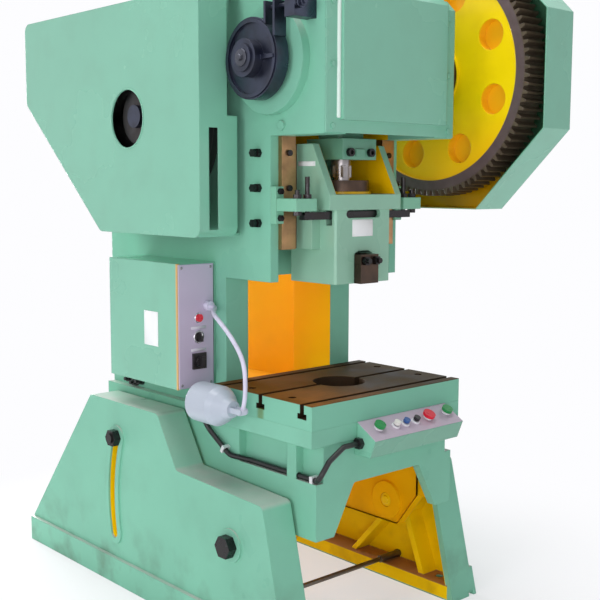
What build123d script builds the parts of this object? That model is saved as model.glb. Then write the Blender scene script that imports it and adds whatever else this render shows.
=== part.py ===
"""Open-back inclinable stamping press, 400 kN class, millimetres.

The origin is the centre of the bolster's top, on the slide's axis. +X is the
operator's right, -Y faces the operator and +Z is up.
"""

from build123d import *
import math
import os

os.makedirs("parts", exist_ok=True)

# Overall places
floor_z = -733.0
fit_gap = 0.3
run_gap = 0.05

# Bolster plate
table_width = 630.0
table_front = -217.0
table_back = 225.0
bolster_thick = 70.0
die_hole_r = 82.0
slot_stem_w = 18.0
slot_foot_w = 38.0
slot_stem_depth = 26.0
slot_foot_depth = 16.0
slot_ys = (-176.0, 4.0, 184.0)
bolster_screw_r = 8.0
bolster_screw_head_r = 12.0
bolster_screw_inset_x = 45.0
bolster_screw_inset_y = 131.0
bolster_screw_seat = 20.0
bolster_screw_depth = 100.0
bolster_screw_key = 14.0

# Frame casting
body_half = 265.0
side_wall = 30.0
column_inner_half = body_half - 87.0
column_front = 227.0
column_back = 412.0
body_back = 875.0
throat_top = 322.0
guide_front = 16.0
head_bottom = 744.0
head_front = -209.0
head_top = 1172.0
head_back = 230.0
head_slope = 50.0
plug_y = -34.0
plug_rise = 27.0
plug_r = 14.0
plug_thick = 12.0
body_back_top = 1060.0
top_plate = 25.0
bed_bottom = -120.0
bed_front = -209.0
base_half = body_half + 25.0
base_wall = 34.0
bed_side_half = body_half - 3.0
bed_side_inner = body_half - 40.0
ledge_z = -228.0
pocket_back_y = 133.0
pillar_back_y = -85.0
pillar_front_y = -125.0
apron_bottom = -393.0
apron_thick = 30.0
apron_return = 100.0
arch_top = -248.0
arch_top_half = body_half - 125.0
arch_foot_half = body_half - 43.0
lug_bottom = -511.0
lug_front_y = -20.0
lug_back_y = 250.0
base_back_bottom = -300.0
crank_boss_r = 150.0
crank_boss_x = body_half + 27.0
chamber_half = body_half - 80.0
chamber_back = 190.0
shelf_thick = 30.0

# Legs and tilt
leg_inner = base_half + 13.0
leg_outer = leg_inner + 105.0
leg_wall = 22.0
leg_top = -111.0
leg_top_back = 798.0
leg_top_front = 398.0
leg_knee_y = 298.0
leg_knee_z = -272.0
leg_shoulder_z = -288.0
leg_shoulder_y = -115.0
leg_toe_y = -222.0
leg_heel_y = 1228.0
leg_heel_z = -640.0
foot_height = 88.0
foot_lip = 14.0
rib_front_toe = 130.0
rib_back_toe = 236.0
pivot_y = 26.0
pivot_z = -436.0
pivot_r = 24.0
pivot_boss_r = 62.0
clamp_radius = 639.0
clamp_start = 18.9
clamp_travel = 30.0
clamp_r = 17.0
clamp_boss_r = 50.0
slot_clear = 2.0
anchor_r = 13.0
anchor_front_y = -120.0
anchor_back_y = 1080.0
tie_r = 8.0
tie_front_y = 92.0
tie_back_y = 1010.0
tie_z = -672.0
tie_sleeve_r = 12.0
tie_sleeve_length = 81.0
tie_nut_flats = 24.0
tie_nut_thick = 14.0
tie_thread = 12.0

# Drive line
crank_z = 952.0
crank_throw = 50.0
journal_r = 50.0
crankpin_r = 55.0
crankpin_half = 75.0
crank_web = 58.0
crank_web_r = 64.0
bush_wall = 14.0
bush_flange = 6.0
drum_shaft_r = 38.0
gear_shaft_r = 45.0
gear_module = 8.0
gear_teeth = 94
pinion_teeth = 31
gear_near_x = body_half + 145.0
gear_width = 100.0
pinion_width = 104.0
backlash = 1.2
gear_web_r = 333.0
gear_pocket_circle = 258.0
gear_pocket_r = 47.0
gear_pocket_depth = 34.0
gear_pockets = 8
pocket_phase = 18.5
gear_hub_r = 108.0
gear_bore_r = 62.0
web_recess = 8.0
back_shaft_y = 480.0
back_shaft_r = 35.0
back_boss_r = 85.0
flywheel_r = 310.0
flywheel_near_x = -body_half - 57.0
flywheel_far_x = flywheel_near_x - 90.0
belt_count = 4
belt_pitch = 19.0
belt_top_w = 16.0
belt_depth = 11.0
belt_clear = 0.4
motor_y = 1015.0
motor_z = 1007.0
motor_pulley_r = 66.0
motor_body_r = 100.0
motor_near_x = 15.0 - body_half
motor_length = 340.0
motor_plate_thick = 20.0
motor_plate_low = motor_z - 102.0
motor_plate_high = motor_z + 83.0
motor_shaft_r = 19.0
drum_r = 107.0
drum_x = -body_half - 90.0
drum_width = 50.0
band_thick = 5.0

# Slide, guides and connecting rod
slide_bottom = 314.0
slide_nose_front = -100.0
slide_half = body_half - 115.0
slide_nose_half = slide_half - 34.0
slide_body_front = -35.0
slide_body_back = 95.0
slide_body_bottom = 417.0
slide_step_z = 532.0
slide_ledge_z = 577.0
slide_ledge_front = -110.0
slide_top = 724.0
cheek_thick = 26.0
cheek_top_front = -36.0
flange_half = body_half - 52.0
flange_front = 30.0
flange_back = 80.0
gib_inner_half = body_half - 83.0
gib_screw_zs = (493.0, 595.0, 696.0)
gib_push_y = 68.0
gib_push_r = 8.0
rail_depth = 48.0
rod_pin_drop = 323.0
rod_half = 70.0
rod_front = -80.0
rod_back = 76.0
rod_block_height = 62.0
screw_r = 30.0
screw_hex = 58.0
ball_r = 40.0
ball_z = 566.0
cap_r = 86.0
cap_thick = 33.0
shank_r = 25.0
shank_depth = 70.0
clamp_half = 37.0
clamp_front = -127.0
clamp_height = 92.0
bar_width = 24.0
bar_height = 22.0
bar_travel = 18.0
bar_half_length = body_half - 43.0
bar_y = -72.0
bar_z = 505.0
stop_inner = body_half - 82.0
stop_outer = body_half - 3.0
stop_front = -92.0
stop_back = -2.0
stop_low = 530.0
stop_high = 566.0
stop_flange_low = 493.0
stop_flange_high = 600.0
stop_stud_x = body_half - 63.0
stop_bolt_x = body_half - 24.0
stop_stud_r = 7.0
stop_tall = 628.0
gib_screw_r = 9.0
screw_top = 850.0
screw_hex_low = 627.0
screw_hex_high = 662.0
rod_eye_front = -95.0
rod_eye_back = 145.0
rod_eye_half = 105.0
eye_r = 67.0
rod_bolt_seat = 45.0
rod_bolt_spots = [(x, y) for x in (-40.0, 40.0) for y in (-80.0, 130.0)]
rod_clamp_z = 700.0
rod_clamp_spots = [(-43.0, rod_clamp_z), (43.0, rod_clamp_z)]
window_low = 508.0
window_high = 531.0
window_half = 72.0
clamp_back = -45.0
clamp_stem_r = 9.0
clamp_stud_spots = [(-22.0, 382.0), (22.0, 382.0)]
stud_r = 8.0
stud_depth = 17.0

# Guards
guard_x = flywheel_far_x - 23.0
guard_front = 128.0
guard_back = 1150.0
guard_low = 452.0
guard_high = motor_z + 150.0
guard_sheet = 4.0
gear_guard_near = gear_near_x + 22.0
gear_guard_far = gear_near_x + 158.0
gear_guard_half = 425.0
guard_slope_y = 669.0
guard_slope_z = 880.0
guard_deep_x = -body_half - 32.0
guard_shallow_x = -body_half - 69.0
guard_step_z = 803.0
guard_hole = (500.0, 805.0)
guard_hole_r = 88.0
guard_slot_x = -body_half - 118.5
guard_slot_w = 33.0
guard_slot_low = 475.0
guard_slot_high = 767.0
gear_guard_back = 640.0
gear_guard_back_low = 687.0
gear_guard_back_high = 1027.0
gear_guard_posts = [(310.0, 602.0), (620.0, 745.0), (395.0, 1110.0)]
gear_guard_post_r = 12.0

# Electrics and lamp
cabinet_front = 276.0
cabinet_back = 660.0
cabinet_low = -18.0
cabinet_high = 367.0
cabinet_x = -body_half - 144.0
cabinet_sheet = 5.0
switch_x = -body_half - 69.0
selector_z = 140.0
main_switch_z = 66.0
indicator_z = 199.0
knob_stem_r = 6.0
switch_plate_thick = 8.0
station_left = -139.0
station_right = 246.0
station_top_z = -69.0
station_nose_y = -292.0
station_nose_z = -113.0
station_low_y = -271.0
station_low_z = -166.0
station_sheet = 4.0
station_conduit_z = -128.0
button_places = (
    (-86.0, 40.0, 17.0),
    (-19.0, 46.0, 10.0),
    (22.0, 46.0, 10.0),
    (67.0, 46.0, 10.0),
    (125.0, 42.0, 19.0),
    (213.0, 38.0, 17.0),
)
button_collar_r = 9.5
button_collar_high = 5.0
button_stem_r = 5.0
button_head_high = 9.0
button_travel = 4.0
conduit_r = 8.0
clip_wide = 11.0
clip_front_y = -180.0
clip_distance = 24.0
gland_spots = ((727.0, -74.0), (694.0, -66.0), (760.0, -66.0))
lamp_base = (-body_half - 35.0, 276.0, 234.0)
lamp_x = -table_width / 2 - 70.0
neck_points = (
    (lamp_x + 40.0, 185.0, 229.0),
    (lamp_x, 90.0, 200.0),
    (lamp_x, 31.0, 151.0),
    (lamp_x, -8.0, 92.0),
    (lamp_x, -14.0, 30.0),
)
neck_r = 6.5
knob_y = 0.0
knob_z = -40.0
shade_r = 60.0
shade_length = 196.0


def hexagon_r(across_flats):
    """Corner radius of a hexagon with the given width across flats."""
    return across_flats / math.sqrt(3)


def gear_outline(teeth, thinning):
    """Points of a spur gear with straight-sided teeth, clockwise tooth by tooth."""
    pitch_r = gear_module * teeth / 2
    outer = pitch_r + gear_module
    root = pitch_r - 1.2 * gear_module
    tooth = 360.0 / teeth
    half_root = tooth * 0.30 - math.degrees(thinning / pitch_r) / 2
    half_tip = tooth * 0.13 - math.degrees(thinning / pitch_r) / 2
    points = []
    for k in range(teeth):
        for radius, turn in ((root, -half_root), (outer, -half_tip), (outer, half_tip), (root, half_root)):
            angle = math.radians(k * tooth + turn)
            points.append((radius * math.cos(angle), radius * math.sin(angle)))
    return points


gear_pitch_r = gear_module * gear_teeth / 2
pinion_pitch_r = gear_module * pinion_teeth / 2
gear_outer_r = gear_pitch_r + gear_module
back_shaft_z = crank_z - math.sqrt((gear_pitch_r + pinion_pitch_r) ** 2 - back_shaft_y**2)
gear_far_x = gear_near_x + gear_width


def clamp_point(turn):
    """Place on the clamp slot's arc, in the side view, at an angle in degrees."""
    angle = math.radians(turn)
    return (pivot_y + clamp_radius * math.cos(angle), pivot_z + clamp_radius * math.sin(angle))


clamp_y, clamp_z = clamp_point(clamp_start)
leg_depth = leg_outer - leg_inner
anchor_x = (leg_inner + leg_outer) / 2
leg_points = (
    (leg_toe_y, floor_z),
    (leg_shoulder_y, leg_shoulder_z),
    (leg_knee_y, leg_knee_z),
    (leg_top_front, leg_top),
    (leg_top_back, leg_top),
    (leg_heel_y, leg_heel_z),
    (leg_heel_y, floor_z),
)


def leg(side):
    """One hollow cast leg, open towards the frame; side is -1 for the left."""
    inner = Plane.YZ.offset(side * leg_inner)
    outer = Plane.YZ.offset(side * leg_outer)
    inward = -side
    with BuildPart() as casting:
        with BuildSketch(inner):
            Polygon(*leg_points, align=None)
            fillet(vertices().group_by(Axis.Z)[-1], 18)
        extrude(amount=side * leg_depth)
        with BuildSketch(inner):
            Polygon(*leg_points, align=None)
            offset(amount=-leg_wall, kind=Kind.INTERSECTION)
        extrude(amount=side * (leg_depth - leg_wall), mode=Mode.SUBTRACT)
        # foot flange, a little proud outside and closing the bottom inside
        with BuildSketch(inner):
            Polygon(
                (leg_toe_y, floor_z),
                (leg_toe_y + (foot_height - 40) * 0.24, floor_z + foot_height - 40),
                (leg_heel_y, floor_z + foot_height - 40),
                (leg_heel_y, floor_z),
                align=None,
            )
        extrude(amount=side * (leg_depth - leg_wall))
        with BuildSketch(outer):
            Polygon(
                (leg_toe_y, floor_z),
                (leg_toe_y + foot_height * 0.24, floor_z + foot_height),
                (leg_heel_y, floor_z + foot_height),
                (leg_heel_y, floor_z),
                align=None,
            )
        extrude(amount=side * foot_lip)
        # pivot boss and the slot's raised border, inside and out
        with BuildSketch(inner):
            with Locations((pivot_y, pivot_z)):
                Circle(pivot_boss_r)
        extrude(amount=side * leg_depth)
        with BuildSketch(outer):
            with Locations((pivot_y, pivot_z)):
                Circle(pivot_boss_r - 12)
            with Locations((pivot_y, pivot_z)):
                SlotArc(clamp_arc, 2 * (clamp_boss_r - 10))
        extrude(amount=side * 6)
        with BuildSketch(inner):
            with Locations((pivot_y, pivot_z)):
                SlotArc(clamp_arc, 2 * clamp_boss_r)
        extrude(amount=side * leg_depth)
        # two sloping ribs from the pivot to the foot
        with BuildSketch(inner.offset(side * 18)):
            for toe in (leg_toe_y + rib_front_toe, pivot_y + rib_back_toe):
                Polygon(
                    (pivot_y - 12, pivot_z),
                    (toe, floor_z + 20),
                    (toe + 24, floor_z + 20),
                    (pivot_y + 12, pivot_z),
                    align=None,
                )
        extrude(amount=side * (leg_depth - leg_wall - 18))
        with BuildSketch(inner.offset(-side)):
            with Locations((pivot_y, pivot_z)):
                Circle(pivot_r + fit_gap)
            with Locations((pivot_y, pivot_z)):
                SlotArc(clamp_arc, 2 * (clamp_r + slot_clear))
        extrude(amount=side * (leg_depth + foot_lip + 20), mode=Mode.SUBTRACT)
        # tapped holes for the tie rods, blind in the outer wall
        with BuildSketch(inner.offset(-side)):
            with Locations((tie_front_y, tie_z), (tie_back_y, tie_z)):
                Circle(tie_r)
        extrude(amount=side * (1 + leg_depth - leg_wall + tie_thread), mode=Mode.SUBTRACT)
        with BuildSketch(Plane.XY.offset(floor_z)):
            with Locations((side * anchor_x, anchor_front_y), (side * anchor_x, anchor_back_y)):
                Circle(anchor_r)
        extrude(amount=foot_height, mode=Mode.SUBTRACT)
    return casting


clamp_arc = CenterArc((0, 0), clamp_radius, clamp_start - clamp_travel, clamp_travel)

# Two legs
left_leg = leg(-1)
left_leg.part.label = "left_leg"
export_step(left_leg.part, "parts/left_leg.step")

right_leg = leg(1)
right_leg.part.label = "right_leg"
export_step(right_leg.part, "parts/right_leg.step")

# Tie rods screw into both legs' outer walls and hold the feet apart
tie_end = leg_outer - leg_wall + tie_thread
with BuildPart() as tie_rods:
    for tie_y in (tie_front_y, tie_back_y):
        with BuildSketch(Plane.YZ.offset(-tie_end)):
            with Locations((tie_y, tie_z)):
                Circle(tie_r)
        extrude(amount=2 * tie_end)
        with BuildSketch(Plane.YZ.offset(leg_outer - leg_wall - tie_nut_thick)):
            with Locations((tie_y, tie_z)):
                Circle(tie_sleeve_r)
        extrude(amount=-tie_sleeve_length)
tie_rods.part.label = "tie_rods"
export_step(tie_rods.part, "parts/tie_rods.step")

with BuildPart() as tie_rod_nuts:
    for tie_y in (tie_front_y, tie_back_y):
        for side in (-1, 1):
            with BuildSketch(Plane.YZ.offset(side * (leg_outer - leg_wall))):
                with Locations((tie_y, tie_z)):
                    RegularPolygon(hexagon_r(tie_nut_flats), 6)
                    Circle(tie_r, mode=Mode.SUBTRACT)
            extrude(amount=-side * tie_nut_thick)
tie_rod_nuts.part.label = "tie_rod_nuts"
export_step(tie_rod_nuts.part, "parts/tie_rod_nuts.step")

# Pivot bolts screw through each leg into the frame's lug
with BuildPart() as pivot_bolts:
    for side in (-1, 1):
        with BuildSketch(Plane.YZ.offset(side * (leg_outer + 6))):
            with Locations((pivot_y, pivot_z)):
                RegularPolygon(hexagon_r(60), 6)
        extrude(amount=side * 28)
        with BuildSketch(Plane.YZ.offset(side * (leg_outer + 6))):
            with Locations((pivot_y, pivot_z)):
                Circle(pivot_r)
        extrude(amount=-side * (leg_outer + 6 - base_half + base_wall))
pivot_bolts.part.label = "pivot_bolts"
export_step(pivot_bolts.part, "parts/pivot_bolts.step")

# Clamp bolts ride in the legs' slots with the frame
with BuildPart() as tilt_clamp_bolts:
    for side in (-1, 1):
        with BuildSketch(Plane.YZ.offset(side * (leg_outer + 6))):
            with Locations((clamp_y, clamp_z)):
                RegularPolygon(hexagon_r(50), 6)
                Circle(clamp_r, mode=Mode.SUBTRACT)
        extrude(amount=side * 24)
        with BuildSketch(Plane.YZ.offset(side * (leg_outer + 36))):
            with Locations((clamp_y, clamp_z)):
                Circle(clamp_r)
        extrude(amount=-side * (leg_outer + 36 - base_half + base_wall))
tilt_clamp_bolts.part.label = "tilt_clamp_bolts"
export_step(tilt_clamp_bolts.part, "parts/tilt_clamp_bolts.step")

# Frame casting: two side plates, columns, bed, guide box, head and lower body
front_drop = 52.0
body_points = (
    (head_front, head_bottom),
    (head_front, head_top - front_drop),
    (head_front + front_drop, head_top),
    (head_back, head_top),
    (body_back, body_back_top),
    (body_back, bed_bottom),
    (bed_front, bed_bottom),
    (bed_front, -bolster_thick),
    (column_front, -bolster_thick),
    (column_front, throat_top),
    (guide_front, throat_top),
    (guide_front, head_bottom),
)
base_points = (
    (bed_front, bed_bottom),
    (bed_front, apron_bottom),
    (bed_front + apron_return, apron_bottom),
    (lug_front_y, lug_bottom),
    (lug_back_y, lug_bottom),
    (body_back, base_back_bottom),
    (body_back, bed_bottom + 30),
    (column_front, bed_bottom + 30),
    (column_front, bed_bottom),
)
bearing_r = journal_r + bush_wall
back_bush_r = back_shaft_r + 10

screw_x = table_width / 2 - bolster_screw_inset_x
screw_front = table_front + bolster_screw_inset_y
screw_back = table_back - bolster_screw_inset_y
screw_spots = [(x, y) for x in (-screw_x, screw_x) for y in (screw_front, screw_back)]
conduit_x = -bed_side_half - 17.0
conduit_z = ledge_z + conduit_r + 0.5
conduit_out_x = conduit_x - 25.0
conduit_turn = (conduit_x, 96.0, conduit_z)
conduit_exit = (conduit_out_x, 162.0, conduit_z + 5.5)
conduit_hole_r = conduit_r + 1.5

with BuildPart() as press_frame:
    # side silhouette of the upper body, then the spaces between its side plates
    with BuildSketch(Plane.YZ.offset(-body_half)):
        Polygon(*body_points, align=None)
    extrude(amount=2 * body_half)
    with BuildSketch(Plane.YZ.offset(-column_inner_half)):
        Polygon(
            (column_front - 5, bed_bottom),
            (column_front - 5, throat_top + 5),
            (column_back + 5, throat_top + 5),
            (column_back + 5, bed_bottom),
            align=None,
        )
    extrude(amount=2 * column_inner_half, mode=Mode.SUBTRACT)
    with BuildSketch(Plane.YZ.offset(-body_half + side_wall)):
        Polygon(
            (column_back, bed_bottom),
            (column_back, throat_top + shelf_thick),
            (column_front, throat_top + shelf_thick),
            (column_front, head_top - top_plate),
            (body_back + 5, body_back_top - top_plate),
            (body_back + 5, bed_bottom),
            align=None,
        )
    extrude(amount=2 * (body_half - side_wall), mode=Mode.SUBTRACT)
    # guide box in front of the cross web, and the crank chamber above it
    with BuildSketch(Plane.YZ.offset(-body_half + side_wall)):
        Polygon(
            (guide_front - 5, throat_top - 5),
            (guide_front - 5, head_bottom),
            (chamber_back, head_bottom),
            (chamber_back, throat_top - 5),
            align=None,
        )
    extrude(amount=2 * (body_half - side_wall), mode=Mode.SUBTRACT)
    with BuildSketch(Plane.YZ.offset(-chamber_half)):
        Polygon(
            (head_front - 5, head_bottom - 5),
            (head_front - 5, head_top - front_drop - top_plate),
            (head_front + front_drop, head_top - top_plate),
            (chamber_back, head_top - top_plate),
            (chamber_back, head_bottom - 5),
            align=None,
        )
    extrude(amount=2 * chamber_half, mode=Mode.SUBTRACT)
    # rails behind the slide's flanges
    for side in (-1, 1):
        with BuildSketch(Plane.XY.offset(slide_body_bottom)):
            Polygon(
                (side * gib_inner_half, flange_back + run_gap),
                (side * (body_half - side_wall + 1), flange_back + run_gap),
                (side * (body_half - side_wall + 1), flange_back + rail_depth),
                (side * gib_inner_half, flange_back + rail_depth),
                align=None,
            )
        extrude(amount=head_bottom - slide_body_bottom)
    # bed block under the bolster
    with BuildSketch(Plane.XY.offset(bed_bottom)):
        Polygon(
            (-table_width / 2, table_front),
            (table_width / 2, table_front),
            (table_width / 2, table_back),
            (-table_width / 2, table_back),
            align=None,
        )
    extrude(amount=-bed_bottom - bolster_thick)
    # lower body between the legs
    with BuildSketch(Plane.YZ.offset(-base_half)):
        Polygon(*base_points, align=None)
    extrude(amount=2 * base_half)
    with BuildSketch(Plane.YZ.offset(-base_half + base_wall)):
        Polygon(
            (bed_front + apron_thick, bed_bottom - 40),
            (bed_front + apron_thick, lug_bottom - 5),
            (body_back - base_wall, lug_bottom - 5),
            (body_back - base_wall, bed_bottom - 40),
            align=None,
        )
    extrude(amount=2 * (base_half - base_wall), mode=Mode.SUBTRACT)
    # thick cheeks behind the side pockets
    for side in (-1, 1):
        with BuildSketch(Plane.XY.offset(ledge_z - 30)):
            Polygon(
                (side * bed_side_inner, bed_front + 10),
                (side * (base_half - 5), bed_front + 10),
                (side * (base_half - 5), column_front),
                (side * bed_side_inner, column_front),
                align=None,
            )
        extrude(amount=bed_bottom - ledge_z + 30)
        with BuildSketch(Plane.XY.offset(ledge_z)):
            Polygon(
                (side * bed_side_half, pillar_back_y),
                (side * (base_half + 5), pillar_back_y),
                (side * (base_half + 5), pocket_back_y),
                (side * bed_side_half, pocket_back_y),
                align=None,
            )
            Polygon(
                (side * bed_side_half, bed_front - 5),
                (side * (base_half + 5), bed_front - 5),
                (side * (base_half + 5), pillar_front_y),
                (side * bed_side_half, pillar_front_y),
                align=None,
            )
        extrude(amount=bed_bottom - ledge_z, mode=Mode.SUBTRACT)
    # arched opening in the apron
    with BuildSketch(Plane.XZ.offset(-bed_front + 5)):
        Polygon(
            (-arch_top_half, arch_top),
            (arch_top_half, arch_top),
            (arch_foot_half, apron_bottom - 5),
            (-arch_foot_half, apron_bottom - 5),
            align=None,
        )
        fillet(vertices().group_by(Axis.Y)[-1], 14)
    extrude(amount=-apron_thick - 10, mode=Mode.SUBTRACT)
    # bosses: crank bearings, back shaft bearings, pivot lugs, clamp pads, motor pads
    for side in (-1, 1):
        with BuildSketch(Plane.YZ.offset(side * body_half)):
            with Locations((0, crank_z)):
                Circle(crank_boss_r)
        extrude(amount=side * (crank_boss_x - body_half))
        with BuildSketch(Plane.YZ.offset(side * (body_half - side_wall - 25))):
            with Locations((back_shaft_y, back_shaft_z)):
                Circle(back_boss_r)
        extrude(amount=side * (side_wall + 45))
        with BuildSketch(Plane.YZ.offset(side * (base_half - base_wall - 12))):
            with Locations((pivot_y, pivot_z)):
                Circle(pivot_boss_r)
            with Locations((clamp_y, clamp_z)):
                Circle(clamp_boss_r)
        extrude(amount=side * (leg_inner - base_half + base_wall + 12))
        with BuildSketch(Plane.YZ.offset(side * (body_half - 5))):
            with Locations((plug_y, head_bottom + plug_rise)):
                Circle(plug_r)
        extrude(amount=side * plug_thick)
    with BuildSketch(Plane.YZ.offset(-crank_boss_x - 5)):
        with Locations((0, crank_z)):
            Circle(bearing_r)
        with Locations((back_shaft_y, back_shaft_z)):
            Circle(back_bush_r)
    extrude(amount=2 * crank_boss_x + 10, mode=Mode.SUBTRACT)
    with BuildSketch(Plane.YZ.offset(-leg_inner - 5)):
        with Locations((pivot_y, pivot_z)):
            Circle(pivot_r + run_gap)
        with Locations((clamp_y, clamp_z)):
            Circle(clamp_r + run_gap)
    extrude(amount=2 * leg_inner + 10, mode=Mode.SUBTRACT)
    # tapped holes for the bolster and the gibs, and the conduit's two holes
    with BuildSketch(Plane.XY.offset(-bolster_thick)):
        with Locations(*screw_spots):
            Circle(bolster_screw_r)
    extrude(amount=bolster_thick - bolster_screw_depth, mode=Mode.SUBTRACT)
    with BuildSketch(Plane.YZ.offset(-body_half - 5)):
        with Locations(*((gib_push_y, z) for z in gib_screw_zs)):
            Circle(gib_push_r)
    extrude(amount=2 * body_half + 10, mode=Mode.SUBTRACT)
    with BuildSketch(Plane.XZ.offset(-pillar_back_y - 5)):
        with Locations((conduit_x, conduit_z)):
            Circle(conduit_hole_r)
    extrude(amount=pillar_back_y - pillar_front_y + 10, mode=Mode.SUBTRACT)
    with BuildSketch(Plane(origin=conduit_turn, z_dir=Vector(*conduit_exit) - Vector(*conduit_turn))):
        Circle(conduit_hole_r)
    extrude(amount=150, mode=Mode.SUBTRACT)
    # slug opening through the bed
    with BuildSketch(Plane.XY.offset(bed_bottom - 45)):
        Circle(die_hole_r + 10)
    extrude(amount=100, mode=Mode.SUBTRACT)
press_frame.part.label = "press_frame"
export_step(press_frame.part, "parts/press_frame.step")

# Bolster plate with through T-slots and the die hole
slot_length = table_width + 10
with BuildPart() as bolster_plate:
    with BuildSketch(Plane.XY.offset(-bolster_thick)):
        Polygon(
            (-table_width / 2, table_front),
            (table_width / 2, table_front),
            (table_width / 2, table_back),
            (-table_width / 2, table_back),
            align=None,
        )
    extrude(amount=bolster_thick)
    with BuildSketch(Plane.XY):
        Circle(die_hole_r)
    extrude(amount=-bolster_thick, mode=Mode.SUBTRACT)
    slot_low = -slot_stem_depth - slot_foot_depth
    for slot_y in slot_ys:
        with BuildSketch(Plane.YZ.offset(-slot_length / 2)):
            Polygon(
                (slot_y - slot_stem_w / 2, 1),
                (slot_y - slot_stem_w / 2, -slot_stem_depth),
                (slot_y - slot_foot_w / 2, -slot_stem_depth),
                (slot_y - slot_foot_w / 2, slot_low),
                (slot_y + slot_foot_w / 2, slot_low),
                (slot_y + slot_foot_w / 2, -slot_stem_depth),
                (slot_y + slot_stem_w / 2, -slot_stem_depth),
                (slot_y + slot_stem_w / 2, 1),
                align=None,
            )
        extrude(amount=slot_length, mode=Mode.SUBTRACT)
    with BuildSketch(Plane.XY):
        with Locations(*screw_spots):
            Circle(bolster_screw_r)
    extrude(amount=-bolster_thick, mode=Mode.SUBTRACT)
    with BuildSketch(Plane.XY):
        with Locations(*screw_spots):
            Circle(bolster_screw_head_r + 0.5)
    extrude(amount=-bolster_screw_seat, mode=Mode.SUBTRACT)
bolster_plate.part.label = "bolster_plate"
export_step(bolster_plate.part, "parts/bolster_plate.step")

# Socket screws seat in the bolster's counterbores
with BuildPart() as bolster_screws:
    with BuildSketch(Plane.XY.offset(-bolster_screw_seat)):
        with Locations(*screw_spots):
            Circle(bolster_screw_head_r)
    extrude(amount=bolster_screw_r * 2)
    with BuildSketch(Plane.XY.offset(-bolster_screw_seat)):
        with Locations(*screw_spots):
            Circle(bolster_screw_r - 0.1)
    extrude(amount=bolster_screw_seat - bolster_screw_depth)
    with BuildSketch(Plane.XY.offset(bolster_screw_r * 2 - bolster_screw_seat)):
        with Locations(*screw_spots):
            RegularPolygon(hexagon_r(bolster_screw_key), 6)
    extrude(amount=-8, mode=Mode.SUBTRACT)
bolster_screws.part.label = "bolster_screws"
export_step(bolster_screws.part, "parts/bolster_screws.step")

# Gibs: an L-section, the strap over the slide's flange and a leg beside it
gib_wall = body_half - side_wall
gib_front_thick = flange_front - run_gap
gib_leg_x = flange_half + run_gap
gib_screw_x = (gib_wall + gib_inner_half) / 2

with BuildPart() as gibs:
    for side in (-1, 1):
        wall = side * gib_wall
        with BuildSketch(Plane.XY.offset(slide_body_bottom)):
            Polygon(
                (wall, 0),
                (side * gib_inner_half, 0),
                (side * gib_inner_half, gib_front_thick),
                (side * gib_leg_x, gib_front_thick),
                (side * gib_leg_x, flange_back),
                (wall, flange_back),
                align=None,
            )
        extrude(amount=head_bottom - slide_body_bottom)
    with BuildSketch(Plane.XZ):
        with Locations(*((side * gib_screw_x, z) for side in (-1, 1) for z in gib_screw_zs[1:])):
            Circle(gib_screw_r)
    extrude(amount=-gib_front_thick / 2, mode=Mode.SUBTRACT)
gibs.part.label = "gibs"
export_step(gibs.part, "parts/gibs.step")

# Knock-out stops: a flange on the frame's front edge carries a block beside the slide
with BuildPart() as knockout_stops:
    for side in (-1, 1):
        with BuildSketch(Plane.XY.offset(stop_low)):
            Polygon(
                (side * stop_inner, stop_back),
                (side * stop_outer, stop_back),
                (side * stop_outer, stop_front),
                (side * stop_inner, stop_front),
                align=None,
            )
        extrude(amount=stop_high - stop_low)
        with BuildSketch(Plane.XY.offset(stop_flange_low)):
            Polygon(
                (side * (gib_wall + 1), stop_back - 6),
                (side * body_half, stop_back - 6),
                (side * body_half, guide_front),
                (side * (gib_wall + 1), guide_front),
                align=None,
            )
        extrude(amount=stop_flange_high - stop_flange_low)
        with BuildSketch(Plane.XY.offset(stop_low)):
            with Locations((side * stop_stud_x, bar_y), (side * stop_bolt_x, bar_y)):
                Circle(stop_stud_r)
        extrude(amount=stop_high - stop_low, mode=Mode.SUBTRACT)
knockout_stops.part.label = "knockout_stops"
export_step(knockout_stops.part, "parts/knockout_stops.step")

# Adjusting screws: six through the side plates on to the gibs, four in the stops,
# four caps in the gib straps
with BuildPart() as adjusting_screws:
    for side in (-1, 1):
        for z in gib_screw_zs:
            with BuildSketch(Plane.YZ.offset(side * gib_wall)):
                with Locations((gib_push_y, z)):
                    Circle(gib_push_r - 0.1)
            extrude(amount=side * (side_wall + 24))
            with BuildSketch(Plane.YZ.offset(side * body_half)):
                with Locations((gib_push_y, z)):
                    RegularPolygon(hexagon_r(24), 6)
            extrude(amount=side * 12)
            with BuildSketch(Plane.YZ.offset(side * (body_half + 18))):
                with Locations((gib_push_y, z)):
                    RegularPolygon(hexagon_r(22), 6)
            extrude(amount=side * 10)
        for z in gib_screw_zs[1:]:
            with BuildSketch(Plane.XZ.offset(-gib_front_thick / 2)):
                with Locations((side * gib_screw_x, z)):
                    Circle(gib_screw_r - 0.1)
            extrude(amount=gib_front_thick / 2 + 7)
        for x, low, high in (
            (stop_stud_x, bar_z + bar_height + 0.5, stop_tall),
            (stop_bolt_x, stop_low - 12, stop_high + 24),
        ):
            with BuildSketch(Plane.XY.offset(low)):
                with Locations((side * x, bar_y)):
                    Circle(stop_stud_r - 0.1)
            extrude(amount=high - low)
            with BuildSketch(Plane.XY.offset(stop_high)):
                with Locations((side * x, bar_y)):
                    RegularPolygon(hexagon_r(22), 6)
            extrude(amount=12)
        with BuildSketch(Plane.XY.offset(stop_low - 12)):
            with Locations((side * stop_bolt_x, bar_y)):
                RegularPolygon(hexagon_r(22), 6)
        extrude(amount=12)
        with BuildSketch(Plane.XZ.offset(6 - stop_back)):
            with Locations(
                (side * (gib_wall + 15), stop_flange_low + 16),
                (side * (gib_wall + 15), stop_flange_high - 14),
            ):
                RegularPolygon(hexagon_r(17), 6)
        extrude(amount=9)
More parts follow.
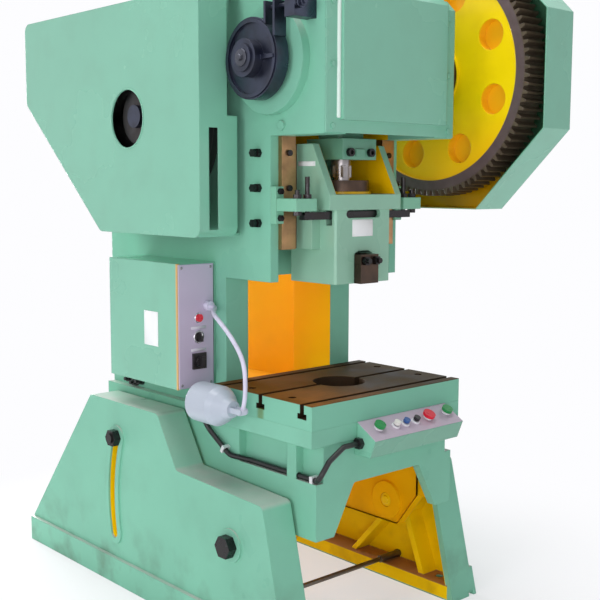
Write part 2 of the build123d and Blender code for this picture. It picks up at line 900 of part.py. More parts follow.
adjusting_screws.part.label = "adjusting_screws"
export_step(adjusting_screws.part, "parts/adjusting_screws.step")

# Crankshaft bushes with inner flanges
with BuildPart() as crank_bushes:
    for side in (-1, 1):
        with BuildSketch(Plane.YZ.offset(side * chamber_half)):
            with Locations((0, crank_z)):
                Circle(bearing_r)
                Circle(journal_r + run_gap, mode=Mode.SUBTRACT)
        extrude(amount=side * (crank_boss_x - chamber_half))
        with BuildSketch(Plane.YZ.offset(side * chamber_half)):
            with Locations((0, crank_z)):
                Circle(bearing_r + 10)
                Circle(journal_r + run_gap, mode=Mode.SUBTRACT)
        extrude(amount=-side * bush_flange)
crank_bushes.part.label = "crank_bushes"
export_step(crank_bushes.part, "parts/crank_bushes.step")

# Crankshaft, pin at the top of its turn
drum_end_x = drum_x - 30
shaft_end_x = gear_far_x + 36
with BuildPart() as crankshaft:
    for low, high, radius in (
        (drum_end_x, -crank_boss_x, drum_shaft_r),
        (-crank_boss_x, -crankpin_half - crank_web, journal_r),
        (crankpin_half + crank_web, crank_boss_x, journal_r),
        (crank_boss_x, shaft_end_x, gear_shaft_r),
    ):
        with BuildSketch(Plane.YZ.offset(low)):
            with Locations((0, crank_z)):
                Circle(radius)
        extrude(amount=high - low)
    for low in (-crankpin_half - crank_web, crankpin_half):
        with BuildSketch(Plane.YZ.offset(low)):
            with Locations((0, crank_z + crank_throw / 2)):
                SlotCenterToCenter(crank_throw, 2 * crank_web_r, rotation=90)
        extrude(amount=crank_web)
    with BuildSketch(Plane.YZ.offset(-crankpin_half)):
        with Locations((0, crank_z + crank_throw)):
            Circle(crankpin_r)
    extrude(amount=2 * crankpin_half)
crankshaft.part.label = "crankshaft"
export_step(crankshaft.part, "parts/crankshaft.step")

# Brake drum: dished disc with a hub boss and one radial rib
with BuildPart() as brake_drum:
    with BuildSketch(Plane.YZ.offset(drum_x)):
        with Locations((0, crank_z)):
            Circle(drum_r)
    extrude(amount=drum_width)
    with BuildSketch(Plane.YZ.offset(drum_x)):
        with Locations((0, crank_z)):
            Circle(drum_r - 10)
    extrude(amount=8, mode=Mode.SUBTRACT)
    with BuildSketch(Plane.YZ.offset(drum_x - 24)):
        with Locations((0, crank_z)):
            Circle(drum_shaft_r + 14)
    extrude(amount=40)
    with BuildSketch(Plane.YZ.offset(drum_x - 4)):
        Polygon(
            (-drum_shaft_r - 8, crank_z - 7),
            (-drum_r + 6, crank_z - 5),
            (-drum_r + 6, crank_z + 5),
            (-drum_shaft_r - 8, crank_z + 7),
            align=None,
        )
    extrude(amount=14)
    with BuildSketch(Plane.YZ.offset(drum_x - 30)):
        with Locations((0, crank_z)):
            Circle(drum_shaft_r)
    extrude(amount=drum_width + 40, mode=Mode.SUBTRACT)
brake_drum.part.label = "brake_drum"
export_step(brake_drum.part, "parts/brake_drum.step")

# Brake band: lined steel strap, open at the upper front, with two lugs
band_in = drum_r + fit_gap
band_out = band_in + band_thick
lug_y = -78.0
lug_gap = 30.0
lug_reach = crank_z + band_out + 36
brake_bolt_x = drum_x + drum_width / 2
brake_bolt_z = crank_z + band_out + 20
brake_bolt_r = 6.0
bracket_front = -175.0
bracket_back = -135.0
with BuildPart() as brake_band:
    with BuildSketch(Plane.YZ.offset(drum_x + 4)):
        with Locations((0, crank_z)):
            Circle(band_out)
            Circle(band_in, mode=Mode.SUBTRACT)
        Polygon(
            (lug_y - lug_gap / 2, crank_z + 40),
            (lug_y + lug_gap / 2, crank_z + 40),
            (lug_y + lug_gap / 2, lug_reach + 40),
            (lug_y - lug_gap / 2, lug_reach + 40),
            align=None,
            mode=Mode.SUBTRACT,
        )
        for edge, out in ((lug_y - lug_gap / 2, -8), (lug_y + lug_gap / 2, 8)):
            start = crank_z + math.sqrt(band_in**2 - min(abs(edge), abs(edge + out)) ** 2)
            Polygon(
                (edge, start),
                (edge + out, start),
                (edge + out, lug_reach),
                (edge, lug_reach),
                align=None,
            )
    extrude(amount=drum_width - 8)
    with BuildSketch(Plane.XZ.offset(-lug_y + lug_gap)):
        with Locations((brake_bolt_x, brake_bolt_z)):
            Circle(brake_bolt_r + 0.3)
    extrude(amount=-2 * lug_gap, mode=Mode.SUBTRACT)
brake_band.part.label = "brake_band"
export_step(brake_band.part, "parts/brake_band.step")

# Brake bracket holds the band's bolt off the head's side
with BuildPart() as brake_bracket:
    with BuildSketch(Plane.YZ.offset(-body_half)):
        Polygon(
            (bracket_front, crank_z + 98),
            (bracket_back, crank_z + 98),
            (bracket_back, crank_z + 163),
            (bracket_front, crank_z + 163),
            align=None,
        )
    extrude(amount=drum_x + 10 + body_half)
    with BuildSketch(Plane.XZ.offset(-bracket_front + 5)):
        with Locations((brake_bolt_x, brake_bolt_z)):
            Circle(brake_bolt_r + 0.3)
    extrude(amount=-(bracket_back - bracket_front) - 10, mode=Mode.SUBTRACT)
brake_bracket.part.label = "brake_bracket"
export_step(brake_bracket.part, "parts/brake_bracket.step")

# Brake spring and its bolt with adjusting nuts
with BuildPart() as brake_spring:
    with BuildSketch(Plane.XZ.offset(-bracket_front + 30)):
        with Locations((brake_bolt_x, brake_bolt_z)):
            Circle(brake_bolt_r)
    extrude(amount=-(30 + lug_y + lug_gap / 2 + 8 - bracket_front + 10))
    with BuildSketch(Plane.XZ.offset(-bracket_front + 14)):
        with Locations((brake_bolt_x, brake_bolt_z)):
            RegularPolygon(hexagon_r(19), 6)
    extrude(amount=10)
    with BuildSketch(Plane.XZ.offset(-(lug_y + lug_gap / 2 + 8))):
        with Locations((brake_bolt_x, brake_bolt_z)):
            RegularPolygon(hexagon_r(19), 6)
    extrude(amount=-10)
    for k in range(3):
        with BuildSketch(Plane.XZ.offset(-bracket_front + 5 * k - (1 if k else 0))):
            with Locations((brake_bolt_x, brake_bolt_z)):
                Circle(15 - k % 2 * 4)
        extrude(amount=5 - (0 if k else 1))
brake_spring.part.label = "brake_spring"
export_step(brake_spring.part, "parts/brake_spring.step")

# Crank cover: flange on the head's front with a raised pan, both bent over the top slope
bend_z = head_top - front_drop
bend_rise = math.tan(math.radians(22.5))
half_root = math.sqrt(0.5)
cover_sheet = 5.0
pan_rise = 22.0
cover_low = 747.0
pan_low = 782.0
cover_reach = 30.0
pan_reach = 17.0
pan_half = 215.0
cover_screw_x = (pan_half + body_half) / 2
cover_screw_zs = (765.0, 930.0, 1095.0)
cover_screw_spots = [(x, z) for x in (-cover_screw_x, cover_screw_x) for z in cover_screw_zs]


def bent(low, rise, reach):
    """Side outline of a layer on the head's front: its bottom, thickness and run past the bend."""
    return (
        (head_front, low),
        (head_front - rise, low),
        (head_front - rise, bend_z + rise * bend_rise),
        (head_front + reach - rise * half_root, bend_z + reach + rise * half_root),
        (head_front + reach, bend_z + reach),
        (head_front, bend_z),
    )


with BuildPart() as crank_cover:
    with BuildSketch(Plane.YZ.offset(-body_half)):
        Polygon(*bent(cover_low, cover_sheet, cover_reach), align=None)
    extrude(amount=2 * body_half)
    with BuildSketch(Plane.YZ.offset(-pan_half)):
        Polygon(*bent(pan_low, pan_rise, pan_reach), align=None)
    extrude(amount=2 * pan_half)
    with BuildSketch(Plane.YZ.offset(-pan_half + cover_sheet)):
        Polygon(*bent(pan_low + cover_sheet, pan_rise - cover_sheet, pan_reach - cover_sheet), align=None)
    extrude(amount=2 * (pan_half - cover_sheet), mode=Mode.SUBTRACT)
    with BuildSketch(Plane.XZ.offset(-head_front)):
        with Locations(*cover_screw_spots):
            Circle(5)
    extrude(amount=cover_sheet, mode=Mode.SUBTRACT)
crank_cover.part.label = "crank_cover"
export_step(crank_cover.part, "parts/crank_cover.step")

with BuildPart() as cover_screws:
    with BuildSketch(Plane.XZ.offset(-head_front)):
        with Locations(*cover_screw_spots):
            Circle(4.8)
    extrude(amount=cover_sheet)
    with BuildSketch(Plane.XZ.offset(-head_front + cover_sheet)):
        with Locations(*cover_screw_spots):
            Circle(8)
    extrude(amount=4)
cover_screws.part.label = "cover_screws"
export_step(cover_screws.part, "parts/cover_screws.step")

# Slide: nose, body with a wide front step, side cheeks and guide flanges
seat_r = 60.0
seat_low = ball_z + 1
cap_z = slide_ledge_z + 8
with BuildPart() as slide:
    with BuildSketch(Plane.XY.offset(slide_bottom)):
        Rectangle(2 * slide_nose_half, -2 * slide_nose_front)
        chamfer(vertices(), 6)
    extrude(amount=slide_step_z - slide_bottom)
    with BuildSketch(Plane.XY.offset(slide_body_bottom)):
        Polygon(
            (-slide_half, slide_body_front),
            (slide_half, slide_body_front),
            (slide_half, slide_body_back),
            (-slide_half, slide_body_back),
            align=None,
        )
    extrude(amount=slide_ledge_z - slide_body_bottom)
    with BuildSketch(Plane.XY.offset(slide_step_z)):
        Polygon(
            (-slide_half, slide_ledge_front),
            (slide_half, slide_ledge_front),
            (slide_half, slide_body_back),
            (-slide_half, slide_body_back),
            align=None,
        )
    extrude(amount=slide_ledge_z - slide_step_z)
    for side in (-1, 1):
        with BuildSketch(Plane.YZ.offset(side * slide_half)):
            Polygon(
                (slide_ledge_front, slide_ledge_z),
                (cheek_top_front, slide_top),
                (slide_body_back, slide_top),
                (slide_body_back, slide_ledge_z),
                align=None,
            )
        extrude(amount=-side * cheek_thick)
        with BuildSketch(Plane.XY.offset(slide_body_bottom)):
            Polygon(
                (side * (slide_half - 5), flange_front),
                (side * flange_half, flange_front),
                (side * flange_half, flange_back),
                (side * (slide_half - 5), flange_back),
                align=None,
            )
        extrude(amount=slide_top - slide_body_bottom)
    with BuildSketch(Plane.XY.offset(slide_ledge_z)):
        Circle(cap_r + 6)
    extrude(amount=cap_z - slide_ledge_z)
    # ball seat under the cap
    with BuildSketch(Plane.XY.offset(seat_low)):
        Circle(seat_r + fit_gap)
    extrude(amount=cap_z - seat_low, mode=Mode.SUBTRACT)
    with BuildSketch(Plane.XY.offset(ball_z)):
        Circle(ball_r + run_gap)
    extrude(amount=seat_low - ball_z, mode=Mode.SUBTRACT)
    with Locations((0, 0, ball_z)):
        Sphere(ball_r + run_gap, mode=Mode.SUBTRACT)
    # slot for the knock-out bar, and its window in the nose
    with BuildSketch(Plane.YZ.offset(-slide_half - 5)):
        Polygon(
            (bar_y - bar_width / 2 - 0.5, bar_z - bar_travel),
            (bar_y + bar_width / 2 + 0.5, bar_z - bar_travel),
            (bar_y + bar_width / 2 + 0.5, bar_z + bar_height + 2),
            (bar_y - bar_width / 2 - 0.5, bar_z + bar_height + 2),
            align=None,
        )
    extrude(amount=2 * slide_half + 10, mode=Mode.SUBTRACT)
    with BuildSketch(Plane.XZ.offset(-slide_nose_front + 5)):
        with Locations((0, (window_low + window_high) / 2)):
            SlotOverall(2 * window_half, window_high - window_low)
    extrude(amount=slide_nose_front - bar_y - 5, mode=Mode.SUBTRACT)
    # shank bore, the clamp's pocket and its stem hole
    with BuildSketch(Plane.XY.offset(slide_bottom)):
        Circle(shank_r)
    extrude(amount=shank_depth, mode=Mode.SUBTRACT)
    with BuildSketch(Plane.XZ.offset(-slide_nose_front + 5)):
        Polygon(
            (-clamp_half - 1, slide_bottom - 5),
            (clamp_half + 1, slide_bottom - 5),
            (clamp_half + 1, slide_bottom + clamp_height - 4),
            (clamp_half - 16, slide_bottom + clamp_height + 4),
            (-clamp_half + 16, slide_bottom + clamp_height + 4),
            (-clamp_half - 1, slide_bottom + clamp_height - 4),
            align=None,
        )
    extrude(amount=slide_nose_front - clamp_back - 5, mode=Mode.SUBTRACT)
    with BuildSketch(Plane.XZ.offset(-clamp_back)):
        with Locations((0, slide_bottom + shank_depth / 2)):
            Circle(clamp_stem_r + 0.3)
    extrude(amount=clamp_back, mode=Mode.SUBTRACT)
    with BuildSketch(Plane.XZ.offset(-clamp_back)):
        with Locations(*clamp_stud_spots):
            Circle(stud_r)
    extrude(amount=-stud_depth, mode=Mode.SUBTRACT)
slide.part.label = "slide"
export_step(slide.part, "parts/slide.step")

# Cap over the ball, screwed down on the slide
with BuildPart() as ball_cap:
    with BuildSketch(Plane.XY.offset(cap_z)):
        Circle(cap_r)
    extrude(amount=cap_thick)
    with BuildSketch(Plane.XY.offset(seat_low)):
        Circle(seat_r)
    extrude(amount=cap_z - seat_low)
    with BuildSketch(Plane.XY.offset(seat_low)):
        Circle(ball_r - 4)
    extrude(amount=cap_z + cap_thick - seat_low, mode=Mode.SUBTRACT)
    with Locations((0, 0, ball_z)):
        Sphere(ball_r + run_gap, mode=Mode.SUBTRACT)
    with BuildSketch(Plane.XY.offset(cap_z + cap_thick)):
        with PolarLocations(cap_r - 16, 6):
            Circle(6)
    extrude(amount=-10, mode=Mode.SUBTRACT)
ball_cap.part.label = "ball_cap"
export_step(ball_cap.part, "parts/ball_cap.step")

# Ball screw: its hexagon turns it to set the die height
with BuildPart() as ball_screw:
    with Locations((0, 0, ball_z)):
        Sphere(ball_r)
    with BuildSketch(Plane.XY.offset(ball_z)):
        Circle(screw_r)
    extrude(amount=screw_top - ball_z)
    with BuildSketch(Plane.XY.offset(screw_hex_low)):
        RegularPolygon(hexagon_r(screw_hex), 6)
    extrude(amount=screw_hex_high - screw_hex_low)
ball_screw.part.label = "ball_screw"
export_step(ball_screw.part, "parts/ball_screw.step")

# Shank clamp in the nose, pressed on the shank by two studs
with BuildPart() as shank_clamp:
    with BuildSketch(Plane.XY.offset(slide_bottom)):
        Polygon(
            (-clamp_half, clamp_front),
            (clamp_half, clamp_front),
            (clamp_half, clamp_back),
            (-clamp_half, clamp_back),
            align=None,
        )
    extrude(amount=clamp_height - 6)
    with BuildSketch(Plane.XZ.offset(-clamp_back)):
        with Locations((0, slide_bottom + shank_depth / 2)):
            Circle(clamp_stem_r)
    extrude(amount=clamp_back + shank_r + 1)
    with BuildSketch(Plane.XZ.offset(-clamp_front)):
        with Locations(*clamp_stud_spots):
            Circle(stud_r)
    extrude(amount=clamp_front - clamp_back, mode=Mode.SUBTRACT)
shank_clamp.part.label = "shank_clamp"
export_step(shank_clamp.part, "parts/shank_clamp.step")

with BuildPart() as clamp_nuts:
    with BuildSketch(Plane.XZ.offset(-clamp_front + 24)):
        with Locations(*clamp_stud_spots):
            Circle(stud_r - 0.1)
    extrude(amount=clamp_front - 24 - clamp_back - stud_depth)
    with BuildSketch(Plane.XZ.offset(-clamp_front)):
        with Locations(*clamp_stud_spots):
            RegularPolygon(hexagon_r(24), 6)
    extrude(amount=14)
clamp_nuts.part.label = "clamp_nuts"
export_step(clamp_nuts.part, "parts/clamp_nuts.step")

with BuildPart() as knockout_bar:
    with BuildSketch(Plane.XY.offset(bar_z)):
        Polygon(
            (-bar_half_length, bar_y - bar_width / 2),
            (bar_half_length, bar_y - bar_width / 2),
            (bar_half_length, bar_y + bar_width / 2),
            (-bar_half_length, bar_y + bar_width / 2),
            align=None,
        )
    extrude(amount=bar_height)
knockout_bar.part.label = "knockout_bar"
export_step(knockout_bar.part, "parts/knockout_bar.step")

# Connecting rod. Its pin bore is an oval, so that a straight rod clears the pin all round
pin_z = crank_z + crank_throw
rod_low = pin_z - rod_pin_drop
with BuildPart() as connecting_rod:
    with BuildSketch(Plane.XY.offset(rod_low)):
        Polygon(
            (-rod_half, rod_front),
            (rod_half, rod_front),
            (rod_half, rod_back),
            (-rod_half, rod_back),
            align=None,
        )
    extrude(amount=rod_block_height)
    with BuildSketch(Plane.XY.offset(rod_low + rod_block_height)):
        Rectangle(1.5 * rod_half, 1.5 * rod_half)
        chamfer(vertices(), 10)
    extrude(amount=pin_z - rod_eye_half - rod_low - rod_block_height + 5)
    with BuildSketch(Plane.YZ.offset(-rod_half)):
        Polygon(
            (rod_eye_front, pin_z),
            (rod_eye_front, pin_z - rod_eye_half / 2),
            (rod_eye_front + 50, pin_z - rod_eye_half),
            (rod_eye_back - 80, pin_z - rod_eye_half),
            (rod_eye_back, pin_z - rod_eye_half / 2),
            (rod_eye_back, pin_z),
            align=None,
        )
    extrude(amount=2 * rod_half)
    with BuildSketch(Plane.YZ.offset(-rod_half)):
        with Locations((crank_throw / 2, pin_z)):
            SlotCenterToCenter(crank_throw, 2 * eye_r)
    extrude(amount=2 * rod_half, mode=Mode.SUBTRACT)
    with BuildSketch(Plane.XY.offset(rod_low)):
        Circle(screw_r + run_gap)
    extrude(amount=screw_top + 8 - rod_low, mode=Mode.SUBTRACT)
    with BuildSketch(Plane.XY.offset(pin_z)):
        with Locations(*rod_bolt_spots):
            Circle(8)
    extrude(amount=-50, mode=Mode.SUBTRACT)
    with BuildSketch(Plane.XZ.offset(-rod_front)):
        with Locations(*rod_clamp_spots):
            Circle(8)
    extrude(amount=-50, mode=Mode.SUBTRACT)
    with BuildSketch(Plane.XZ.offset(-rod_front)):
        with Locations((0, rod_clamp_z)):
            Rectangle(36, 21)
    extrude(amount=5)
connecting_rod.part.label = "connecting_rod"
export_step(connecting_rod.part, "parts/connecting_rod.step")

with BuildPart() as rod_cap:
    with BuildSketch(Plane.YZ.offset(-rod_half)):
        Polygon(
            (rod_eye_front, pin_z),
            (rod_eye_front, pin_z + rod_eye_half / 2),
            (rod_eye_front + 50, pin_z + rod_eye_half),
            (rod_eye_back - 50, pin_z + rod_eye_half),
            (rod_eye_back, pin_z + rod_eye_half / 2),
            (rod_eye_back, pin_z),
            align=None,
        )
    extrude(amount=2 * rod_half)
    with BuildSketch(Plane.YZ.offset(-rod_half)):
        with Locations((crank_throw / 2, pin_z)):
            SlotCenterToCenter(crank_throw, 2 * eye_r)
    extrude(amount=2 * rod_half, mode=Mode.SUBTRACT)
    with BuildSketch(Plane.XY.offset(pin_z)):
        with Locations(*rod_bolt_spots):
            Circle(8)
    extrude(amount=rod_bolt_seat, mode=Mode.SUBTRACT)
    with BuildSketch(Plane.XY.offset(pin_z + rod_bolt_seat)):
        with Locations(*rod_bolt_spots):
            Circle(17)
    extrude(amount=rod_eye_half, mode=Mode.SUBTRACT)
rod_cap.part.label = "rod_cap"
export_step(rod_cap.part, "parts/rod_cap.step")

with BuildPart() as rod_bolts:
    with BuildSketch(Plane.XY.offset(pin_z + rod_bolt_seat)):
        with Locations(*rod_bolt_spots):
            Circle(7.9)
    extrude(amount=-rod_bolt_seat - 48)
    with BuildSketch(Plane.XY.offset(pin_z + rod_bolt_seat)):
        with Locations(*rod_bolt_spots):
            RegularPolygon(hexagon_r(24), 6)
    extrude(amount=12)
    with BuildSketch(Plane.XZ.offset(-rod_front + 12)):
        with Locations(*rod_clamp_spots):
            Circle(12.5)
    extrude(amount=-12)
    with BuildSketch(Plane.XZ.offset(-rod_front)):
        with Locations(*rod_clamp_spots):
            Circle(7.9)
    extrude(amount=-48)
    with BuildSketch(Plane.XZ.offset(-rod_front + 12)):
        with Locations(*rod_clamp_spots):
            RegularPolygon(hexagon_r(12), 6)
    extrude(amount=-6, mode=Mode.SUBTRACT)
rod_bolts.part.label = "rod_bolts"
export_step(rod_bolts.part, "parts/rod_bolts.step")

# Main gear, loose on the clutch sleeve, its teeth meshing with the pinion's
mesh_angle = math.degrees(math.atan2(back_shaft_z - crank_z, back_shaft_y))
collar_r = gear_hub_r - 4.3
collar_near_x = gear_near_x - 12
collar_step_x = gear_near_x + 36
sleeve_r = gear_bore_r - run_gap
pocket_spots = [
    (
        gear_pocket_circle * math.cos(math.radians(k * 360 / gear_pockets + pocket_phase)),
        crank_z + gear_pocket_circle * math.sin(math.radians(k * 360 / gear_pockets + pocket_phase)),
    )
    for k in range(gear_pockets)
]
with BuildPart() as main_gear:
    with BuildSketch(Plane.YZ.offset(gear_near_x)):
        with Locations(Location((0, crank_z, 0), (0, 0, mesh_angle))):
            Polygon(*gear_outline(gear_teeth, 0.0), align=None)
    extrude(amount=gear_width)
    with BuildSketch(Plane.YZ.offset(gear_near_x)):
        with Locations((0, crank_z)):
            Circle(gear_web_r)
            Circle(gear_hub_r, mode=Mode.SUBTRACT)
    extrude(amount=web_recess, mode=Mode.SUBTRACT)
    with BuildSketch(Plane.YZ.offset(gear_far_x)):
        with Locations((0, crank_z)):
            Circle(gear_web_r)
            Circle(gear_hub_r, mode=Mode.SUBTRACT)
    extrude(amount=-web_recess, mode=Mode.SUBTRACT)
    with BuildSketch(Plane.YZ.offset(gear_near_x)):
        with Locations(*pocket_spots):
            Circle(gear_pocket_r)
    extrude(amount=web_recess + gear_pocket_depth, mode=Mode.SUBTRACT)
    with BuildSketch(Plane.YZ.offset(gear_near_x)):
        with Locations((0, crank_z)):
            Circle(collar_r + fit_gap)
    extrude(amount=collar_step_x + fit_gap - gear_near_x, mode=Mode.SUBTRACT)
    with BuildSketch(Plane.YZ.offset(gear_near_x)):
        with Locations((0, crank_z)):
            Circle(gear_bore_r)
    extrude(amount=gear_width, mode=Mode.SUBTRACT)
main_gear.part.label = "main_gear"
export_step(main_gear.part, "parts/main_gear.step")

# Clutch collar keyed on the crankshaft, with the sleeve the gear runs on
with BuildPart() as clutch_collar:
    with BuildSketch(Plane.YZ.offset(collar_near_x)):
        with Locations((0, crank_z)):
            Circle(collar_r)
    extrude(amount=collar_step_x - collar_near_x)
    with BuildSketch(Plane.YZ.offset(collar_step_x)):
        with Locations((0, crank_z)):
            Circle(sleeve_r)
    extrude(amount=gear_far_x + 15 - collar_step_x)
    with BuildSketch(Plane.YZ.offset(collar_near_x)):
        with Locations((0, crank_z)):
            Circle(gear_shaft_r)
    extrude(amount=gear_far_x + 15 - collar_near_x, mode=Mode.SUBTRACT)
clutch_collar.part.label = "clutch_collar"
export_step(clutch_collar.part, "parts/clutch_collar.step")

with BuildPart() as gear_nut:
    with BuildSketch(Plane.YZ.offset(gear_far_x + 15)):
        with Locations((0, crank_z)):
            RegularPolygon(gear_bore_r + 8, 6)
            Circle(gear_shaft_r, mode=Mode.SUBTRACT)
    extrude(amount=20)
gear_nut.part.label = "gear_nut"
export_step(gear_nut.part, "parts/gear_nut.step")

# Back shaft with its bearings, pinion and flywheel
back_centre = (back_shaft_y, back_shaft_z)
boss_near_x = body_half - side_wall - 25
boss_far_x = boss_near_x + side_wall + 45
with BuildPart() as back_shaft:
    with BuildSketch(Plane.YZ.offset(flywheel_far_x - 12)):
        with Locations(back_centre):
            Circle(back_shaft_r)
    extrude(amount=gear_far_x + 24 - flywheel_far_x)
    for side in (-1, 1):
        with BuildSketch(Plane.YZ.offset(side * (boss_far_x + 0.5))):
            with Locations(back_centre):
                Circle(back_shaft_r + 7)
        extrude(amount=side * 14)
back_shaft.part.label = "back_shaft"
export_step(back_shaft.part, "parts/back_shaft.step")

with BuildPart() as shaft_bearings:
    for side in (-1, 1):
        with BuildSketch(Plane.YZ.offset(side * boss_near_x)):
            with Locations(back_centre):
                Circle(back_bush_r)
                Circle(back_shaft_r + run_gap, mode=Mode.SUBTRACT)
        extrude(amount=side * (boss_far_x - boss_near_x))
shaft_bearings.part.label = "shaft_bearings"
export_step(shaft_bearings.part, "parts/shaft_bearings.step")

with BuildPart() as pinion:
    with BuildSketch(Plane.YZ.offset(gear_near_x - 2)):
        pinion_turn = mesh_angle + 180 + 180 / pinion_teeth
        with Locations(Location((back_shaft_y, back_shaft_z, 0), (0, 0, pinion_turn))):
            Polygon(*gear_outline(pinion_teeth, backlash), align=None)
        with Locations(back_centre):
            Circle(back_shaft_r, mode=Mode.SUBTRACT)
    extrude(amount=pinion_width)
pinion.part.label = "pinion"
export_step(pinion.part, "parts/pinion.step")


def grooved_rim(outer_r, near_x, far_x, core_r):
    """Half section of a rim with V-belt grooves, as points of radius against X."""
    points = [(near_x, core_r), (near_x, outer_r)]
    for k in range(belt_count):
        middle = (near_x + far_x) / 2 + (k - (belt_count - 1) / 2) * belt_pitch
        points.append((middle - belt_top_w / 2 - belt_clear, outer_r))
        points.append((middle - belt_top_w / 2 + 3 - belt_clear, outer_r - belt_depth - 2))
        points.append((middle + belt_top_w / 2 - 3 + belt_clear, outer_r - belt_depth - 2))
        points.append((middle + belt_top_w / 2 + belt_clear, outer_r))
    points.append((far_x, outer_r))
    points.append((far_x, core_r))
    return points


flywheel_axis = Plane(origin=(0, back_shaft_y, back_shaft_z), x_dir=(1, 0, 0), z_dir=(0, -1, 0))
with BuildPart() as flywheel:
    with BuildSketch(flywheel_axis):
        Polygon(*grooved_rim(flywheel_r, flywheel_far_x, flywheel_near_x, flywheel_r - 55), align=None)
        Polygon(
            (flywheel_far_x + 30, flywheel_r - 54),
            (flywheel_far_x + 58, flywheel_r - 54),
            (flywheel_far_x + 58, back_boss_r - 1),
            (flywheel_far_x + 30, back_boss_r - 1),
            align=None,
        )
        Polygon(
            (flywheel_far_x + 4, back_boss_r),
            (flywheel_near_x, back_boss_r),
            (flywheel_near_x, back_shaft_r),
            (flywheel_far_x + 4, back_shaft_r),
            align=None,
        )
    revolve(axis=Axis((0, back_shaft_y, back_shaft_z), (1, 0, 0)))
flywheel.part.label = "flywheel"
export_step(flywheel.part, "parts/flywheel.step")

# Motor on a plate across the body's back, and its pulley
with BuildPart() as motor_plate:
    with BuildSketch(Plane.XY.offset(motor_plate_low)):
        Polygon(
            (-body_half, body_back),
            (body_half, body_back),
            (body_half, body_back + motor_plate_thick),
            (-body_half, body_back + motor_plate_thick),
            align=None,
        )
    extrude(amount=motor_plate_high - motor_plate_low)
motor_plate.part.label = "motor_plate"
export_step(motor_plate.part, "parts/motor_plate.step")

motor_centre = (motor_y, motor_z)
pulley_bore_r = motor_shaft_r + run_gap
foot_y = body_back + motor_plate_thick
with BuildPart() as motor:
    with BuildSketch(Plane.YZ.offset(motor_near_x)):
        with Locations(motor_centre):
            Circle(motor_body_r)
    extrude(amount=motor_length)
    with BuildSketch(Plane.YZ.offset(motor_near_x)):
        with Locations(motor_centre):
            Circle(motor_body_r * 0.55)
    extrude(amount=-14)
    with BuildSketch(Plane.YZ.offset(motor_near_x + motor_length)):
        with Locations(motor_centre):
            Circle(motor_body_r - 4)
    extrude(amount=60)
    with BuildSketch(Plane.YZ.offset(flywheel_far_x - 3)):
        with Locations(motor_centre):
            Circle(motor_shaft_r)
    extrude(amount=motor_near_x - flywheel_far_x + 3)
    for low in (motor_near_x + 60, motor_near_x + motor_length - 110):
        with BuildSketch(Plane.YZ.offset(low)):
            Polygon(
                (foot_y, motor_z - 78),
                (foot_y + 14, motor_z - 78),
                (foot_y + 60, motor_z - 60),
                (foot_y + 60, motor_z + 60),
                (foot_y + 14, motor_z + 78),
                (foot_y, motor_z + 78),
                align=None,
            )
        extrude(amount=50)
    with BuildSketch(Plane.YZ.offset(motor_near_x + 140)):
        Polygon(
            (motor_y - 42, motor_z + motor_body_r - 14),
            (motor_y + 42, motor_z + motor_body_r - 14),
            (motor_y + 42, motor_z + motor_body_r + 42),
            (motor_y - 42, motor_z + motor_body_r + 42),
            align=None,
        )
    extrude(amount=100)
motor.part.label = "motor"
export_step(motor.part, "parts/motor.step")

with BuildPart() as motor_pulley:
    with BuildSketch(Plane(origin=(0, motor_y, motor_z), x_dir=(1, 0, 0), z_dir=(0, -1, 0))):
        Polygon(
            *grooved_rim(motor_pulley_r, flywheel_far_x + 3, flywheel_near_x - 3, pulley_bore_r),
            align=None,
        )
    revolve(axis=Axis((0, motor_y, motor_z), (1, 0, 0)))
motor_pulley.part.label = "motor_pulley"
export_step(motor_pulley.part, "parts/motor_pulley.step")

# V-belts, each a trapezoid drawn along two arcs and two straight runs
belt_line_r = (flywheel_r - belt_depth / 2, motor_pulley_r - belt_depth / 2)
belt_span = math.hypot(motor_y - back_shaft_y, motor_z - back_shaft_z)
belt_tilt = math.atan2(motor_z - back_shaft_z, motor_y - back_shaft_y)
belt_open = math.acos((belt_line_r[0] - belt_line_r[1]) / belt_span)


def round_point(centre, radius, angle):
    """Point of a circle in the side view."""
    return (centre[0] + radius * math.cos(angle), centre[1] + radius * math.sin(angle))


belt_top = belt_tilt + belt_open
belt_bottom = belt_tilt - belt_open
with BuildPart() as v_belts:
    for k in range(belt_count):
        belt_x = (flywheel_near_x + flywheel_far_x) / 2 + (k - (belt_count - 1) / 2) * belt_pitch
        with BuildLine(Plane.YZ.offset(belt_x)) as belt_path:
            Line(
                round_point(back_centre, belt_line_r[0], belt_top),
                round_point(motor_centre, belt_line_r[1], belt_top),
            )
            ThreePointArc(
                round_point(motor_centre, belt_line_r[1], belt_top),
                round_point(motor_centre, belt_line_r[1], belt_tilt),
                round_point(motor_centre, belt_line_r[1], belt_bottom),
            )
            Line(
                round_point(motor_centre, belt_line_r[1], belt_bottom),
                round_point(back_centre, belt_line_r[0], belt_bottom),
            )
            ThreePointArc(
                round_point(back_centre, belt_line_r[0], belt_bottom),
                round_point(back_centre, belt_line_r[0], belt_tilt + math.pi),
                round_point(back_centre, belt_line_r[0], belt_top),
            )
        outward = (0, math.cos(belt_top), math.sin(belt_top))
        along = (0, math.sin(belt_top), -math.cos(belt_top))
        start = round_point(back_centre, belt_line_r[0], belt_top)
        with BuildSketch(Plane(origin=(belt_x, *start), x_dir=outward, z_dir=along)):
            Polygon(
                (belt_depth / 2, -belt_top_w / 2),
                (belt_depth / 2, belt_top_w / 2),
                (-belt_depth / 2, belt_top_w / 2 - 3),
                (-belt_depth / 2, -belt_top_w / 2 + 3),
                align=None,
            )
        sweep(path=belt_path.wires()[0])
v_belts.part.label = "v_belts"
export_step(v_belts.part, "parts/v_belts.step")

